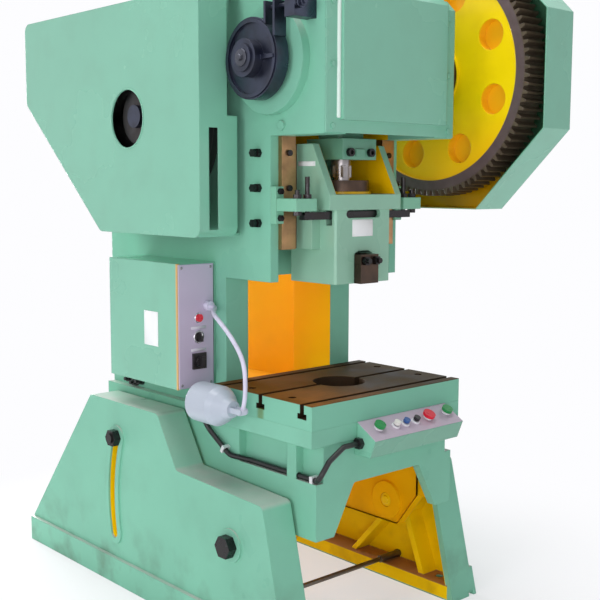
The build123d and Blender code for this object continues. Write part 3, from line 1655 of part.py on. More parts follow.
# Flywheel guard: sheet box open towards the body, carried by four tabs
guard_points = (
    (guard_front, guard_low),
    (guard_slope_y, guard_low),
    (guard_back, guard_slope_z),
    (guard_back, guard_high),
    (guard_front, guard_high),
)
with BuildPart() as flywheel_guard:
    with BuildSketch(Plane.YZ.offset(guard_x)):
        Polygon(*guard_points, align=None)
        fillet(vertices(), 30)
    extrude(amount=guard_deep_x - guard_x)
    with BuildSketch(Plane.YZ.offset(guard_x + guard_sheet)):
        Polygon(*guard_points, align=None)
        fillet(vertices(), 30)
        offset(amount=-guard_sheet)
    extrude(amount=guard_deep_x - guard_x, mode=Mode.SUBTRACT)
    with BuildSketch(Plane.YZ.offset(guard_shallow_x)):
        Polygon(
            (guard_front - 5, guard_step_z),
            (guard_back + 5, guard_step_z),
            (guard_back + 5, guard_high + 5),
            (guard_front - 5, guard_high + 5),
            align=None,
        )
    extrude(amount=guard_deep_x - guard_shallow_x + 5, mode=Mode.SUBTRACT)
    with BuildSketch(Plane.YZ.offset(guard_x)):
        with Locations(guard_hole):
            Circle(guard_hole_r)
    extrude(amount=guard_sheet, mode=Mode.SUBTRACT)
    with BuildSketch(Plane.XZ.offset(-guard_front + 5)):
        with Locations((guard_slot_x, (guard_slot_low + guard_slot_high) / 2)):
            Rectangle(guard_slot_w, guard_slot_high - guard_slot_low)
    extrude(amount=-guard_sheet - 10, mode=Mode.SUBTRACT)
    for near, far, low in (
        (guard_front + 30, guard_front + 80, guard_low + 2),
        (guard_slope_y - 70, guard_slope_y - 20, guard_low + 2),
        (guard_front + 30, guard_front + 80, guard_high - 10),
        (guard_front + 130, guard_front + 160, guard_high - 10),
    ):
        with BuildSketch(Plane.YZ.offset(guard_x + 2)):
            Polygon((near, low), (far, low), (far, low + 8), (near, low + 8), align=None)
        extrude(amount=-body_half - guard_x - 2)
flywheel_guard.part.label = "flywheel_guard"
export_step(flywheel_guard.part, "parts/flywheel_guard.step")

# Gear guard: sheet box open towards the body, carried by three posts
flat = gear_guard_half * math.tan(math.radians(22.5))
gear_guard_points = (
    (-flat, crank_z - gear_guard_half),
    (flat, crank_z - gear_guard_half),
    (gear_guard_back, gear_guard_back_low),
    (gear_guard_back, gear_guard_back_high),
    (flat, crank_z + gear_guard_half),
    (-flat, crank_z + gear_guard_half),
    (-gear_guard_half, crank_z + flat),
    (-gear_guard_half, crank_z - flat),
)
with BuildPart() as gear_guard:
    with BuildSketch(Plane.YZ.offset(gear_guard_near)):
        Polygon(*gear_guard_points, align=None)
    extrude(amount=gear_guard_far - gear_guard_near)
    with BuildSketch(Plane.YZ.offset(gear_guard_near)):
        Polygon(*gear_guard_points, align=None)
        offset(amount=-guard_sheet, kind=Kind.INTERSECTION)
    extrude(amount=gear_guard_far - guard_sheet - gear_guard_near, mode=Mode.SUBTRACT)
    with BuildSketch(Plane.YZ.offset(body_half)):
        with Locations(*gear_guard_posts):
            Circle(gear_guard_post_r)
    extrude(amount=gear_guard_far - guard_sheet / 2 - body_half)
gear_guard.part.label = "gear_guard"
export_step(gear_guard.part, "parts/gear_guard.step")

# Cabinet on the column's side: sheet box closed by a front panel
with BuildPart() as cabinet:
    with BuildSketch(Plane.XY.offset(cabinet_low)):
        Polygon(
            (cabinet_x, cabinet_front + cabinet_sheet),
            (-body_half, cabinet_front + cabinet_sheet),
            (-body_half, cabinet_back),
            (cabinet_x, cabinet_back),
            align=None,
        )
    extrude(amount=cabinet_high - cabinet_low)
    with BuildSketch(Plane.XY.offset(cabinet_low + cabinet_sheet)):
        Polygon(
            (cabinet_x + cabinet_sheet, cabinet_front),
            (-body_half - cabinet_sheet, cabinet_front),
            (-body_half - cabinet_sheet, cabinet_back - cabinet_sheet),
            (cabinet_x + cabinet_sheet, cabinet_back - cabinet_sheet),
            align=None,
        )
    extrude(amount=cabinet_high - cabinet_low - 2 * cabinet_sheet, mode=Mode.SUBTRACT)
cabinet.part.label = "cabinet"
export_step(cabinet.part, "parts/cabinet.step")

with BuildPart() as cabinet_panel:
    with BuildSketch(Plane.XZ.offset(-cabinet_front - cabinet_sheet)):
        Polygon(
            (cabinet_x + 3, cabinet_low + 3),
            (-body_half - 12, cabinet_low + 3),
            (-body_half - 12, cabinet_high - 3),
            (cabinet_x + 3, cabinet_high - 3),
            align=None,
        )
    extrude(amount=cabinet_sheet)
    with BuildSketch(Plane.XZ.offset(-cabinet_front - cabinet_sheet)):
        with Locations((switch_x, selector_z)):
            Circle(knob_stem_r + fit_gap)
        with Locations((switch_x, main_switch_z)):
            Circle(knob_stem_r + fit_gap)
        with Locations((switch_x, indicator_z)):
            Circle(knob_stem_r)
    extrude(amount=cabinet_sheet, mode=Mode.SUBTRACT)
cabinet_panel.part.label = "cabinet_panel"
export_step(cabinet_panel.part, "parts/cabinet_panel.step")

with BuildPart() as indicator_lens:
    with BuildSketch(Plane.XZ.offset(-cabinet_front)):
        with Locations((switch_x, indicator_z)):
            Circle(12)
    extrude(amount=9)
    with BuildSketch(Plane.XZ.offset(-cabinet_front)):
        with Locations((switch_x, indicator_z)):
            Circle(knob_stem_r - 0.1)
    extrude(amount=-cabinet_sheet - 10)
indicator_lens.part.label = "indicator_lens"
export_step(indicator_lens.part, "parts/indicator_lens.step")

with BuildPart() as selector_knob:
    with BuildSketch(Plane.XZ.offset(-cabinet_front + fit_gap)):
        with Locations((switch_x, selector_z)):
            Circle(15)
    extrude(amount=7)
    with BuildSketch(Plane.XZ.offset(-cabinet_front + 7)):
        with Locations((switch_x, selector_z)):
            Rectangle(9, 26)
    extrude(amount=13)
    with BuildSketch(Plane.XZ.offset(-cabinet_front + 1)):
        with Locations((switch_x, selector_z)):
            Circle(knob_stem_r)
    extrude(amount=-cabinet_sheet - 14)
selector_knob.part.label = "selector_knob"
export_step(selector_knob.part, "parts/selector_knob.step")

with BuildPart() as switch_plate:
    with BuildSketch(Plane.XZ.offset(-cabinet_front)):
        with Locations((switch_x, main_switch_z)):
            Rectangle(49, 49)
            Circle(knob_stem_r + fit_gap, mode=Mode.SUBTRACT)
    extrude(amount=switch_plate_thick)
switch_plate.part.label = "switch_plate"
export_step(switch_plate.part, "parts/switch_plate.step")

with BuildPart() as main_switch:
    with BuildSketch(Plane.XZ.offset(-cabinet_front + switch_plate_thick + fit_gap)):
        with Locations((switch_x, main_switch_z)):
            Circle(18)
    extrude(amount=8)
    with BuildSketch(Plane.XZ.offset(-cabinet_front + switch_plate_thick + 8)):
        with Locations((switch_x, main_switch_z)):
            Rectangle(12, 34)
    extrude(amount=14)
    with BuildSketch(Plane.XZ.offset(-cabinet_front + switch_plate_thick + 1)):
        with Locations((switch_x, main_switch_z)):
            Circle(knob_stem_r)
    extrude(amount=-switch_plate_thick - cabinet_sheet - 15)
main_switch.part.label = "main_switch"
export_step(main_switch.part, "parts/main_switch.step")

# Control station: a sheet box with a sloping top, open towards the frame
station_points = (
    (table_front - 0.5, station_top_z),
    (station_nose_y, station_nose_z),
    (station_low_y, station_low_z),
    (bed_front, station_low_z),
    (bed_front, bed_bottom - 0.5),
    (table_front - 0.5, bed_bottom - 0.5),
)
slope_y = table_front - 0.5 - station_nose_y
slope_z = station_top_z - station_nose_z
slope = math.hypot(slope_y, slope_z)
slope_x_dir = (0, -slope_y / slope, -slope_z / slope)
slope_normal = (0, -slope_z / slope, slope_y / slope)


def on_slope(x, run):
    """Point of the sloping top, a distance down the slope from its upper edge."""
    return (x, table_front - 0.5 - slope_y * run / slope, station_top_z - slope_z * run / slope)


with BuildPart() as control_station:
    with BuildSketch(Plane.YZ.offset(station_left)):
        Polygon(*station_points, align=None)
    extrude(amount=station_right - station_left)
    with BuildSketch(Plane.YZ.offset(station_left + station_sheet)):
        Polygon(*station_points, align=None)
        offset(amount=-station_sheet, kind=Kind.INTERSECTION)
    extrude(amount=station_right - station_left - 2 * station_sheet, mode=Mode.SUBTRACT)
    with BuildSketch(Plane.XZ.offset(-bed_front)):
        Polygon(
            (station_left + 12, station_low_z + 12),
            (station_right - 12, station_low_z + 12),
            (station_right - 12, bed_bottom - 10),
            (station_left + 12, bed_bottom - 10),
            align=None,
        )
    extrude(amount=20, mode=Mode.SUBTRACT)
    for x, run, head_r in button_places:
        with BuildSketch(Plane(origin=on_slope(x, run), x_dir=slope_x_dir, z_dir=slope_normal)):
            Circle(button_collar_r)
        extrude(amount=button_collar_high)
    for x, run, head_r in button_places:
        with BuildSketch(Plane(origin=on_slope(x, run), x_dir=slope_x_dir, z_dir=slope_normal)):
            Circle(button_stem_r + fit_gap)
        extrude(amount=2 * button_collar_high + station_sheet, both=True, mode=Mode.SUBTRACT)
control_station.part.label = "control_station"
export_step(control_station.part, "parts/control_station.step")


def button(x, run, head_r):
    """A push button: its head stands off the collar by its travel, its stem goes inside."""
    face = Plane(origin=on_slope(x, run), x_dir=slope_x_dir, z_dir=slope_normal)
    with BuildPart() as pushed:
        with BuildSketch(face.offset(button_collar_high + button_travel)):
            Circle(head_r)
        extrude(amount=button_head_high)
        with BuildSketch(face.offset(button_collar_high + button_travel)):
            Circle(button_stem_r)
        extrude(amount=-button_collar_high - button_travel - station_sheet - 6)
    return pushed


left_palm_button = button(*button_places[0])
left_palm_button.part.label = "left_palm_button"
export_step(left_palm_button.part, "parts/left_palm_button.step")

pilot_button_1 = button(*button_places[1])
pilot_button_1.part.label = "pilot_button_1"
export_step(pilot_button_1.part, "parts/pilot_button_1.step")

pilot_button_2 = button(*button_places[2])
pilot_button_2.part.label = "pilot_button_2"
export_step(pilot_button_2.part, "parts/pilot_button_2.step")

pilot_button_3 = button(*button_places[3])
pilot_button_3.part.label = "pilot_button_3"
export_step(pilot_button_3.part, "parts/pilot_button_3.step")

stop_button = button(*button_places[4])
stop_button.part.label = "stop_button"
export_step(stop_button.part, "parts/stop_button.step")

right_palm_button = button(*button_places[5])
right_palm_button.part.label = "right_palm_button"
export_step(right_palm_button.part, "parts/right_palm_button.step")

# Conduit from the station round the frame's corner to the cabinet
conduit_front_y = -232.0
conduit_drop = (conduit_x + 17.0, conduit_front_y, -160.0)
conduit_corner = (conduit_x - 18.0, conduit_front_y + 3.0, conduit_z + 13.5)
conduit_entry = (conduit_x, -200.0, conduit_z)
conduit_mid = (conduit_x, -20.0, conduit_z)
conduit_rise = (conduit_out_x, 269.0, -150.0)
conduit_bend_near = 23.0
conduit_bend_far = 55.0
with BuildPart() as control_conduit:
    with BuildLine() as conduit_line:
        FilletPolyline(
            (station_left, conduit_front_y, station_conduit_z),
            (station_left - 66, conduit_front_y, station_conduit_z),
            conduit_drop,
            conduit_corner,
            conduit_entry,
            conduit_mid,
            radius=conduit_bend_near,
        )
        FilletPolyline(
            conduit_mid,
            conduit_turn,
            conduit_exit,
            conduit_rise,
            (-330.0, 300.0, -62.0),
            (-330.0, 300.0, cabinet_low),
            radius=conduit_bend_far,
        )
    with BuildSketch(Plane(origin=(station_left, conduit_front_y, station_conduit_z), z_dir=(-1, 0, 0))):
        Circle(conduit_r)
    sweep(path=conduit_line.wires()[0])
control_conduit.part.label = "control_conduit"
export_step(control_conduit.part, "parts/control_conduit.step")

# Two clips: one in the notch at the front corner, one behind the side pocket
clip_along = Vector(*conduit_rise) - Vector(*conduit_exit)
clip_centre = Vector(*conduit_exit) + clip_along * (clip_distance / clip_along.length)
clip_frame = Plane(origin=clip_centre, x_dir=(1, 0, 0), z_dir=clip_along)
clip_reach = clip_centre.X + base_half
with BuildPart() as conduit_clips:
    with BuildSketch(Plane.XZ.offset(-clip_front_y)):
        Polygon(
            (-bed_side_half, ledge_z),
            (conduit_x - conduit_r - 3, ledge_z),
            (conduit_x - conduit_r - 3, conduit_z + conduit_r + 3),
            (-bed_side_half, conduit_z + conduit_r + 3),
            align=None,
        )
        with Locations((conduit_x, conduit_z)):
            Circle(conduit_r + 0.2, mode=Mode.SUBTRACT)
    extrude(amount=clip_wide)
    with BuildSketch(clip_frame):
        Polygon(
            (-clip_reach, -conduit_r - 3),
            (-clip_reach, conduit_r + 12),
            (-clip_reach - 5, conduit_r + 12),
            (-clip_reach - 5, conduit_r + 3),
            (-conduit_r - 3, conduit_r + 3),
            (-conduit_r - 3, -conduit_r - 3),
            align=None,
        )
        Circle(conduit_r + 0.2, mode=Mode.SUBTRACT)
    extrude(amount=clip_wide)
conduit_clips.part.label = "conduit_clips"
export_step(conduit_clips.part, "parts/conduit_clips.step")

# Cable glands below the cabinet on the column's side, and one at the station
with BuildPart() as cable_glands:
    for y, z in gland_spots:
        with BuildSketch(Plane.YZ.offset(-body_half)):
            with Locations((y, z)):
                RegularPolygon(hexagon_r(26), 6)
        extrude(amount=-9)
        with BuildSketch(Plane.YZ.offset(-body_half - 9)):
            with Locations((y, z)):
                Circle(11)
        extrude(amount=-12)
        with BuildSketch(Plane.YZ.offset(-body_half - 21)):
            with Locations((y, z)):
                Circle(6)
        extrude(amount=-10)
    with BuildSketch(Plane.YZ.offset(station_left)):
        with Locations((conduit_front_y, station_conduit_z)):
            RegularPolygon(hexagon_r(30), 6)
            Circle(conduit_r + 0.2, mode=Mode.SUBTRACT)
    extrude(amount=-14)
cable_glands.part.label = "cable_glands"
export_step(cable_glands.part, "parts/cable_glands.step")

# Lamp: a set gooseneck from the panel, and a shade on its end knob
with BuildPart() as lamp_gooseneck:
    with BuildLine() as neck_line:
        Spline(
            (lamp_base[0], lamp_base[1] - 10, lamp_base[2]),
            *neck_points,
            (lamp_x, knob_y, knob_z),
            tangents=((0, -1, 0), (0, 0.4, -1)),
        )
    with BuildSketch(Plane(origin=(lamp_base[0], lamp_base[1] - 10, lamp_base[2]), z_dir=(0, -1, 0))):
        Circle(neck_r)
    sweep(path=neck_line.wires()[0])
    with BuildSketch(Plane.XZ.offset(-cabinet_front)):
        with Locations((lamp_base[0], lamp_base[2])):
            Circle(15)
    extrude(amount=18)
    with BuildSketch(Plane.YZ.offset(lamp_x - 9)):
        with Locations((knob_y, knob_z)):
            Circle(11)
    extrude(amount=18)
lamp_gooseneck.part.label = "lamp_gooseneck"
export_step(lamp_gooseneck.part, "parts/lamp_gooseneck.step")

shade_axis = Plane(origin=(lamp_x, knob_y, knob_z), x_dir=(0, 1, 0), z_dir=(1, 0, 0))
with BuildPart() as lamp_shade:
    with BuildSketch(shade_axis):
        Polygon(
            (40, 0),
            (40, 24),
            (62, 32),
            (84, 50),
            (104, shade_r),
            (shade_length, shade_r),
            (shade_length, shade_r - 3),
            (106, shade_r - 3),
            (87, 47),
            (66, 30),
            (66, 0),
            align=None,
        )
    revolve(axis=Axis((lamp_x, knob_y, knob_z), (0, 1, 0)))
    for side in (-1, 1):
        with BuildSketch(Plane.YZ.offset(lamp_x + side * 9.3)):
            with Locations((knob_y, knob_z)):
                Circle(10)
            Polygon(
                (knob_y, knob_z - 8),
                (knob_y + 44, knob_z - 8),
                (knob_y + 44, knob_z + 8),
                (knob_y, knob_z + 8),
                align=None,
            )
        extrude(amount=side * 5)
lamp_shade.part.label = "lamp_shade"
export_step(lamp_shade.part, "parts/lamp_shade.step")
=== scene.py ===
"""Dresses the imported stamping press: its paints, steels and greases, the small
fittings that stand on it, and the stage that it is seen on."""

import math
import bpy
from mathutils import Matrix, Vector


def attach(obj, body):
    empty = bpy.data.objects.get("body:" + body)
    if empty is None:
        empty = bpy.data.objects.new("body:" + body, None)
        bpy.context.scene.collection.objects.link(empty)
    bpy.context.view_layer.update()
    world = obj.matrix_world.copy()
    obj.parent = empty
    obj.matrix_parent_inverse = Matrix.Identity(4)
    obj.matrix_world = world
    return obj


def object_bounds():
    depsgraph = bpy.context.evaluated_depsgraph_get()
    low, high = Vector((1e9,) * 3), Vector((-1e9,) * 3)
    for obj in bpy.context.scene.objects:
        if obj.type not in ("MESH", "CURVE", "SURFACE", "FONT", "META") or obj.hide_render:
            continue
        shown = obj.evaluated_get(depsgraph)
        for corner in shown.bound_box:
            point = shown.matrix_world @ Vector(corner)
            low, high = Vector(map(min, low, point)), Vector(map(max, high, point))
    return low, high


bl_info = {
    "name": "Inclinable Stamping Press",
    "version": (1, 0, 0),
    "blender": (4, 5, 0),
    "location": "View3D > Sidebar > Press",
    "description": "Finishes, fittings and stage for an open-back stamping press",
    "category": "Object",
}

import bmesh
import bpy
from bpy.props import FloatProperty, FloatVectorProperty, PointerProperty
from mathutils import Matrix, Vector

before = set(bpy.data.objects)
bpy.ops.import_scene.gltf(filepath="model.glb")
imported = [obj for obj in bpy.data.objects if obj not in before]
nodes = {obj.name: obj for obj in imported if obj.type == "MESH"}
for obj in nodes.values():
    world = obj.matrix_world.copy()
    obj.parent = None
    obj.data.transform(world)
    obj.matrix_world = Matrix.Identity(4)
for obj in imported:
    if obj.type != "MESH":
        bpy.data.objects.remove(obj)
cad_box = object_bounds()

MM = 0.001
FLOOR_Z = cad_box[0][2]

# Axes along X that finishes are drawn round, in metres
TILT_PIVOT = (0.0, 0.026, -0.436)
CRANK_AXIS = (0.0, 0.0, 0.952)

# Arc of the tilt slot, in millimetres, and the box that ends it, in metres
SLOT_R = 639
SLOT_START_Y = 0.35
SLOT_LOW_Z = -0.582
SLOT_HIGH_Z = -0.206

# Radii of the gear, in metres: where its web ends and where its teeth start
WEB_EDGE = (0.3325, 0.3345)
TOOTH_ROOT = (0.362, 0.367)

# Roof line of the hollow body and head, as a point and the way it faces
ROOF_POINT = (0, 230, 1160)
ROOF_OUTWARD = (0.0, 112.0, 645.0)

# Places that several fittings share, in millimetres
STATION_SLOPE = (0.0, -0.5086, 0.8611)
PANEL_X = -334.0
PANEL_Y = 276.0
MOTOR_AT = (1015.0, 1007.0)
LAMP_KNOB = (-385.0, 0.0, -40.0)
GUARD_FACE_X = 568.0

TO_LEFT = (-1.0, 0.0, 0.0)
TO_RIGHT = (1.0, 0.0, 0.0)
TO_FRONT = (0.0, -1.0, 0.0)
UPWARD = (0.0, 0.0, 1.0)


def hex_colour(code):
    """Linear RGBA of an sRGB colour written as six hex digits."""
    channels = []
    for start in (0, 2, 4):
        value = int(code[start:start + 2], 16) / 255
        if value <= 0.04045:
            channels.append(value / 12.92)
        else:
            channels.append(((value + 0.055) / 1.055) ** 2.4)
    return (*channels, 1.0)


GRIME = hex_colour("5E6B58")
GRIME_ON_SHEET = hex_colour("6C7C68")
GRIME_ON_YELLOW = hex_colour("A06A14")
COLOUR_FIELD = {"subtype": "COLOR", "size": 4, "min": 0, "max": 1}


def millimetres(*place):
    """A place given in millimetres, in the metres that Blender works in."""
    return Vector(place) * MM


class PressColours(bpy.types.PropertyGroup):
    enamel: FloatVectorProperty(
        name="Machine green",
        description="Sprayed enamel on the castings and guards",
        default=hex_colour("84C4AB"),
        **COLOUR_FIELD,
    )
    # Greyed colour for faces that look upward: dust, and painted light from above
    dust_and_top_light: FloatVectorProperty(
        name="Shop dust",
        description="Dust on enamelled faces that look upward",
        default=hex_colour("B9BCB6"),
        **COLOUR_FIELD,
    )
    inside_yellow: FloatVectorProperty(
        name="Inside yellow",
        description="Warning yellow inside the castings and on the gear",
        default=hex_colour("FFC400"),
        **COLOUR_FIELD,
    )
    oil_brown: FloatVectorProperty(
        name="Oil brown",
        description="Old oil on machined iron",
        default=hex_colour("6A4A30"),
        **COLOUR_FIELD,
    )


class PressSizes(bpy.types.PropertyGroup):
    cast_round: FloatProperty(
        name="Casting edge",
        description="Radius that the paint gives a casting's edges",
        unit="LENGTH",
        default=0.004,
        min=0.0,
        max=0.02,
    )
    sheet_round: FloatProperty(
        name="Sheet edge",
        description="Radius on the edges of sheet-metal guards",
        unit="LENGTH",
        default=0.005,
        min=0.0,
        max=0.02,
    )
    peel: FloatProperty(
        name="Orange peel",
        description="Grain of the sprayed enamel",
        unit="LENGTH",
        default=0.004,
        min=0.001,
        max=0.02,
    )
    filler_wave: FloatProperty(
        name="Filler wave",
        description="Distance between the slow waves in filled iron",
        unit="LENGTH",
        default=0.11,
        min=0.02,
        max=0.5,
    )


class PressView(bpy.types.PropertyGroup):
    place: FloatVectorProperty(
        name="Camera place",
        description="Where the camera stands, in the part's frame",
        subtype="TRANSLATION",
        unit="LENGTH",
        default=(-2.18811, -2.24436, 0.61496),
    )
    yaw: FloatProperty(
        name="Yaw",
        description="Turn of the view from +Y towards +X",
        subtype="ANGLE",
        default=math.radians(42.0436),
    )
    pitch: FloatProperty(
        name="Pitch",
        description="How far the view looks down",
        subtype="ANGLE",
        default=math.radians(6.6021),
    )
    roll: FloatProperty(
        name="Roll",
        description="Small lean of the camera",
        subtype="ANGLE",
        default=math.radians(0.1711),
    )
    lens: FloatProperty(
        name="Lens",
        description="Focal length on a 36 mm square frame, in millimetres",
        default=61.563,
        min=10.0,
    )
    key_strength: FloatProperty(
        name="Key light",
        description="Power of the large soft light on the left, in watts",
        default=50.0,
        min=0.0,
    )
    sky: FloatProperty(
        name="Sky light",
        description="Strength of the even light from all round",
        default=0.33,
        min=0.0,
    )


def add_node(tree, kind, inputs=None, **settings):
    """One shader node, its settings made and its inputs filled, or linked to a socket
    or to another node's first output."""
    made = tree.nodes.new(kind)
    for name, value in settings.items():
        setattr(made, name, value)
    for socket, value in (inputs or {}).items():
        if isinstance(value, bpy.types.Node):
            value = value.outputs[0]
        if isinstance(value, bpy.types.NodeSocket):
            tree.links.new(value, made.inputs[socket])
        else:
            made.inputs[socket].default_value = value
    return made


def joined(tree, operation, values):
    """Several masks or numbers made one, such as their product or the highest."""
    total, *rest = values
    for value in rest:
        total = add_node(
            tree, "ShaderNodeMath", {0: total, 1: value}, operation=operation
        )
    return total


def painted(tree, colour, coats):
    """The colour under further coats, each a mask and the paint that it lays on."""
    for mask, paint in coats:
        colour = add_node(
            tree, "ShaderNodeMix", {0: mask, 6: colour, 7: paint}, data_type="RGBA"
        ).outputs[2]
    return colour


def relief(tree, edge, waves, samples=4):
    """A face with its edges rounded, then waved by each height, depth and strength."""
    normal = add_node(tree, "ShaderNodeBevel", {"Radius": edge}, samples=samples)
    for height, depth, strength in waves:
        normal = add_node(
            tree,
            "ShaderNodeBump",
            {
                "Height": height,
                "Distance": depth,
                "Strength": strength,
                "Normal": normal,
            },
        )
    return normal


def open_material(name):
    """A new material's tree, and the Object coordinates that its patterns read."""
    material = bpy.data.materials.new(name)
    material.use_nodes = True
    tree = material.node_tree
    tree.nodes.clear()
    place = add_node(tree, "ShaderNodeTexCoord").outputs["Object"]
    return material, tree, place


def close_material(material, tree, shader):
    """Joins the finished shader to the material's output."""
    add_node(tree, "ShaderNodeOutputMaterial", {"Surface": shader})
    return material


def inside_box(tree, place, low, high, soft=0.6):
    """1 inside a box of the part's frame and 0 outside it, in millimetres."""
    low, high = millimetres(*low), millimetres(*high)
    middle = [(a + b) / 2 for a, b in zip(low, high)]
    half = [(b - a) / 2 for a, b in zip(low, high)]
    offset = add_node(
        tree, "ShaderNodeVectorMath", {0: place, 1: middle}, operation="SUBTRACT"
    )
    away = add_node(tree, "ShaderNodeVectorMath", {0: offset}, operation="ABSOLUTE")
    past = add_node(
        tree, "ShaderNodeVectorMath", {0: away, 1: half}, operation="SUBTRACT"
    )
    sides = add_node(tree, "ShaderNodeSeparateXYZ", {0: past})
    return softened(tree, joined(tree, "MAXIMUM", sides.outputs), soft)


def softened(tree, past, soft=0.6):
    """1 where the distance past an edge is negative, over a margin in millimetres."""
    return add_node(tree, "ShaderNodeMapRange", {0: past, 1: soft * MM, 2: -soft * MM})


def behind_lines(tree, place, lines):
    """1 on the inner side of every line, each a point and an outward direction."""
    distances = []
    for point, outward in lines:
        outward = Vector(outward).normalized()
        along = add_node(
            tree,
            "ShaderNodeVectorMath",
            {0: place, 1: outward},
            operation="DOT_PRODUCT",
        )
        past = add_node(
            tree,
            "ShaderNodeMath",
            {0: along.outputs["Value"], 1: Vector(point).dot(outward)},
            operation="SUBTRACT",
        )
        distances.append(past)
    return softened(tree, joined(tree, "MAXIMUM", distances))


def distance_from_axis(tree, place, centre):
    """Distance from a line along X through the centre, for turned parts."""
    flat = add_node(
        tree, "ShaderNodeVectorMath", {0: place, 1: centre}, operation="SUBTRACT"
    )
    flat = add_node(
        tree,
        "ShaderNodeVectorMath",
        {0: flat, 1: (0.0, 1.0, 1.0)},
        operation="MULTIPLY",
    )
    length = add_node(tree, "ShaderNodeVectorMath", {0: flat}, operation="LENGTH")
    return length.outputs["Value"]


def arc_band(tree, place, half_width, near_x, far_x):
    """A band round the tilt pivot, for the slot that the clamp bolt runs in."""
    reach = distance_from_axis(tree, place, TILT_PIVOT)
    off = add_node(
        tree, "ShaderNodeMath", {0: reach, 1: SLOT_R * MM}, operation="SUBTRACT"
    )
    off = add_node(tree, "ShaderNodeMath", {0: off}, operation="ABSOLUTE")
    sides = add_node(tree, "ShaderNodeSeparateXYZ", {0: place})
    across = add_node(
        tree, "ShaderNodeMath", {0: sides.outputs[0]}, operation="ABSOLUTE"
    )
    tests = (
        (off, half_width * MM, "LESS_THAN"),
        (across, near_x * MM, "GREATER_THAN"),
        (across, far_x * MM, "LESS_THAN"),
        (sides.outputs[1], SLOT_START_Y, "GREATER_THAN"),
        (sides.outputs[2], SLOT_LOW_Z, "GREATER_THAN"),
        (sides.outputs[2], SLOT_HIGH_Z, "LESS_THAN"),
    )
    passed = [
        add_node(tree, "ShaderNodeMath", {0: value, 1: limit}, operation=test)
        for value, limit, test in tests
    ]
    return joined(tree, "MULTIPLY", passed)


def inset_lines(outline, depth):
    """Lines a little inside a side view's edges, given clockwise as seen from -X."""
    lines = []
    for start, end in outline:
        along = Vector((0.0, end[0] - start[0], end[1] - start[1])).normalized()
        outward = Vector((0.0, -along[2], along[1]))
        point = millimetres(0, *start) - outward * depth * MM
        lines.append((point, outward))
    return lines


def box_area(low, high):
    """A painted area that fills one box, in millimetres."""
    return lambda tree, place: inside_box(tree, place, low, high)


def sprayed(
    tree, place, colour, edge,
    gloss=0.3, wave=1.0, patchy=0.05, sheen=0.35, coat=0.12, matt=None,
):
    """Enamel sprayed over filled iron or sheet: waves, orange peel, soft patches."""
    sizes = bpy.context.scene.press_sizes
    patches = add_node(
        tree, "ShaderNodeTexNoise", {"Vector": place, "Scale": 3.0, "Detail": 4.0}
    )
    value = add_node(
        tree,
        "ShaderNodeMapRange",
        {0: patches, 1: 0.3, 2: 0.7, 3: 1.0 - patchy, 4: 1.0 + patchy},
    )
    toned = add_node(tree, "ShaderNodeHueSaturation", {"Color": colour, "Value": value})
    waves = add_node(
        tree,
        "ShaderNodeTexNoise",
        {"Vector": place, "Scale": 1 / sizes.filler_wave, "Detail": 1.0},
    )
    grain = add_node(
        tree,
        "ShaderNodeTexNoise",
        {"Vector": place, "Scale": 1 / sizes.peel, "Detail": 2.0},
    )
    rough = add_node(
        tree,
        "ShaderNodeMapRange",
        {0: patches, 1: 0.3, 2: 0.7, 3: gloss - 0.05, 4: gloss + 0.08},
    )
    if matt is not None:
        rough = add_node(
            tree, "ShaderNodeMix", {0: matt, 2: rough, 3: 0.75}, data_type="FLOAT"
        )
    normal = relief(
        tree, edge, ((waves, 0.004 * wave, 0.5), (grain, 0.0004, 0.25)), samples=6
    )
    return add_node(
        tree,
        "ShaderNodeBsdfPrincipled",
        {
            "Base Color": toned,
            "Roughness": rough,
            "Normal": normal,
            "IOR": 1.5,
            "Specular IOR Level": sheen,
            "Coat Weight": coat,
            "Coat Roughness": 0.12,
        },
    )


def grimed(tree, place, colour, dirt, floor_height=0.25, amount=0.6):
    """The colour with shop dirt gathered low down and in cloudy patches."""
    height = add_node(tree, "ShaderNodeSeparateXYZ", {0: place})
    low = add_node(
        tree,
        "ShaderNodeMapRange",
        {0: height.outputs[2], 1: FLOOR_Z, 2: FLOOR_Z + floor_height, 3: 1.0, 4: 0.12},
    )
    clouds = add_node(
        tree, "ShaderNodeTexNoise", {"Vector": place, "Scale": 9.0, "Detail": 8.0}
    )
    cloudy = add_node(
        tree, "ShaderNodeMapRange", {0: clouds, 1: 0.48, 2: 0.72, 3: 0.0, 4: amount}
    )
    both = joined(tree, "MULTIPLY", (low, cloudy))
    return painted(tree, colour, ((both, dirt),))


def dusted_and_toplit(tree, place, colour):
    """Grey shop dust, and painted light from above, on faces that look upward, thicker in
    cloudy patches.
    """
    faces = add_node(tree, "ShaderNodeTexCoord")
    upward = add_node(tree, "ShaderNodeSeparateXYZ", {0: faces.outputs["Normal"]})
    clouds = add_node(
        tree, "ShaderNodeTexNoise", {"Vector": place, "Scale": 12.0, "Detail": 5.0}
    )
    thick = add_node(
        tree, "ShaderNodeMapRange", {0: clouds, 1: 0.35, 2: 0.7, 3: 0.6, 4: 0.95}
    )
    level = add_node(tree, "ShaderNodeMapRange", {0: upward.outputs[2], 1: 0.3, 2: 0.9})
    # Upward faces turn grey: partly dust, partly painted light from above
    amount = joined(tree, "MULTIPLY", (level, thick))
    dust_and_top_light = tuple(bpy.context.scene.press_colours.dust_and_top_light)
    return painted(tree, colour, ((amount, dust_and_top_light),))


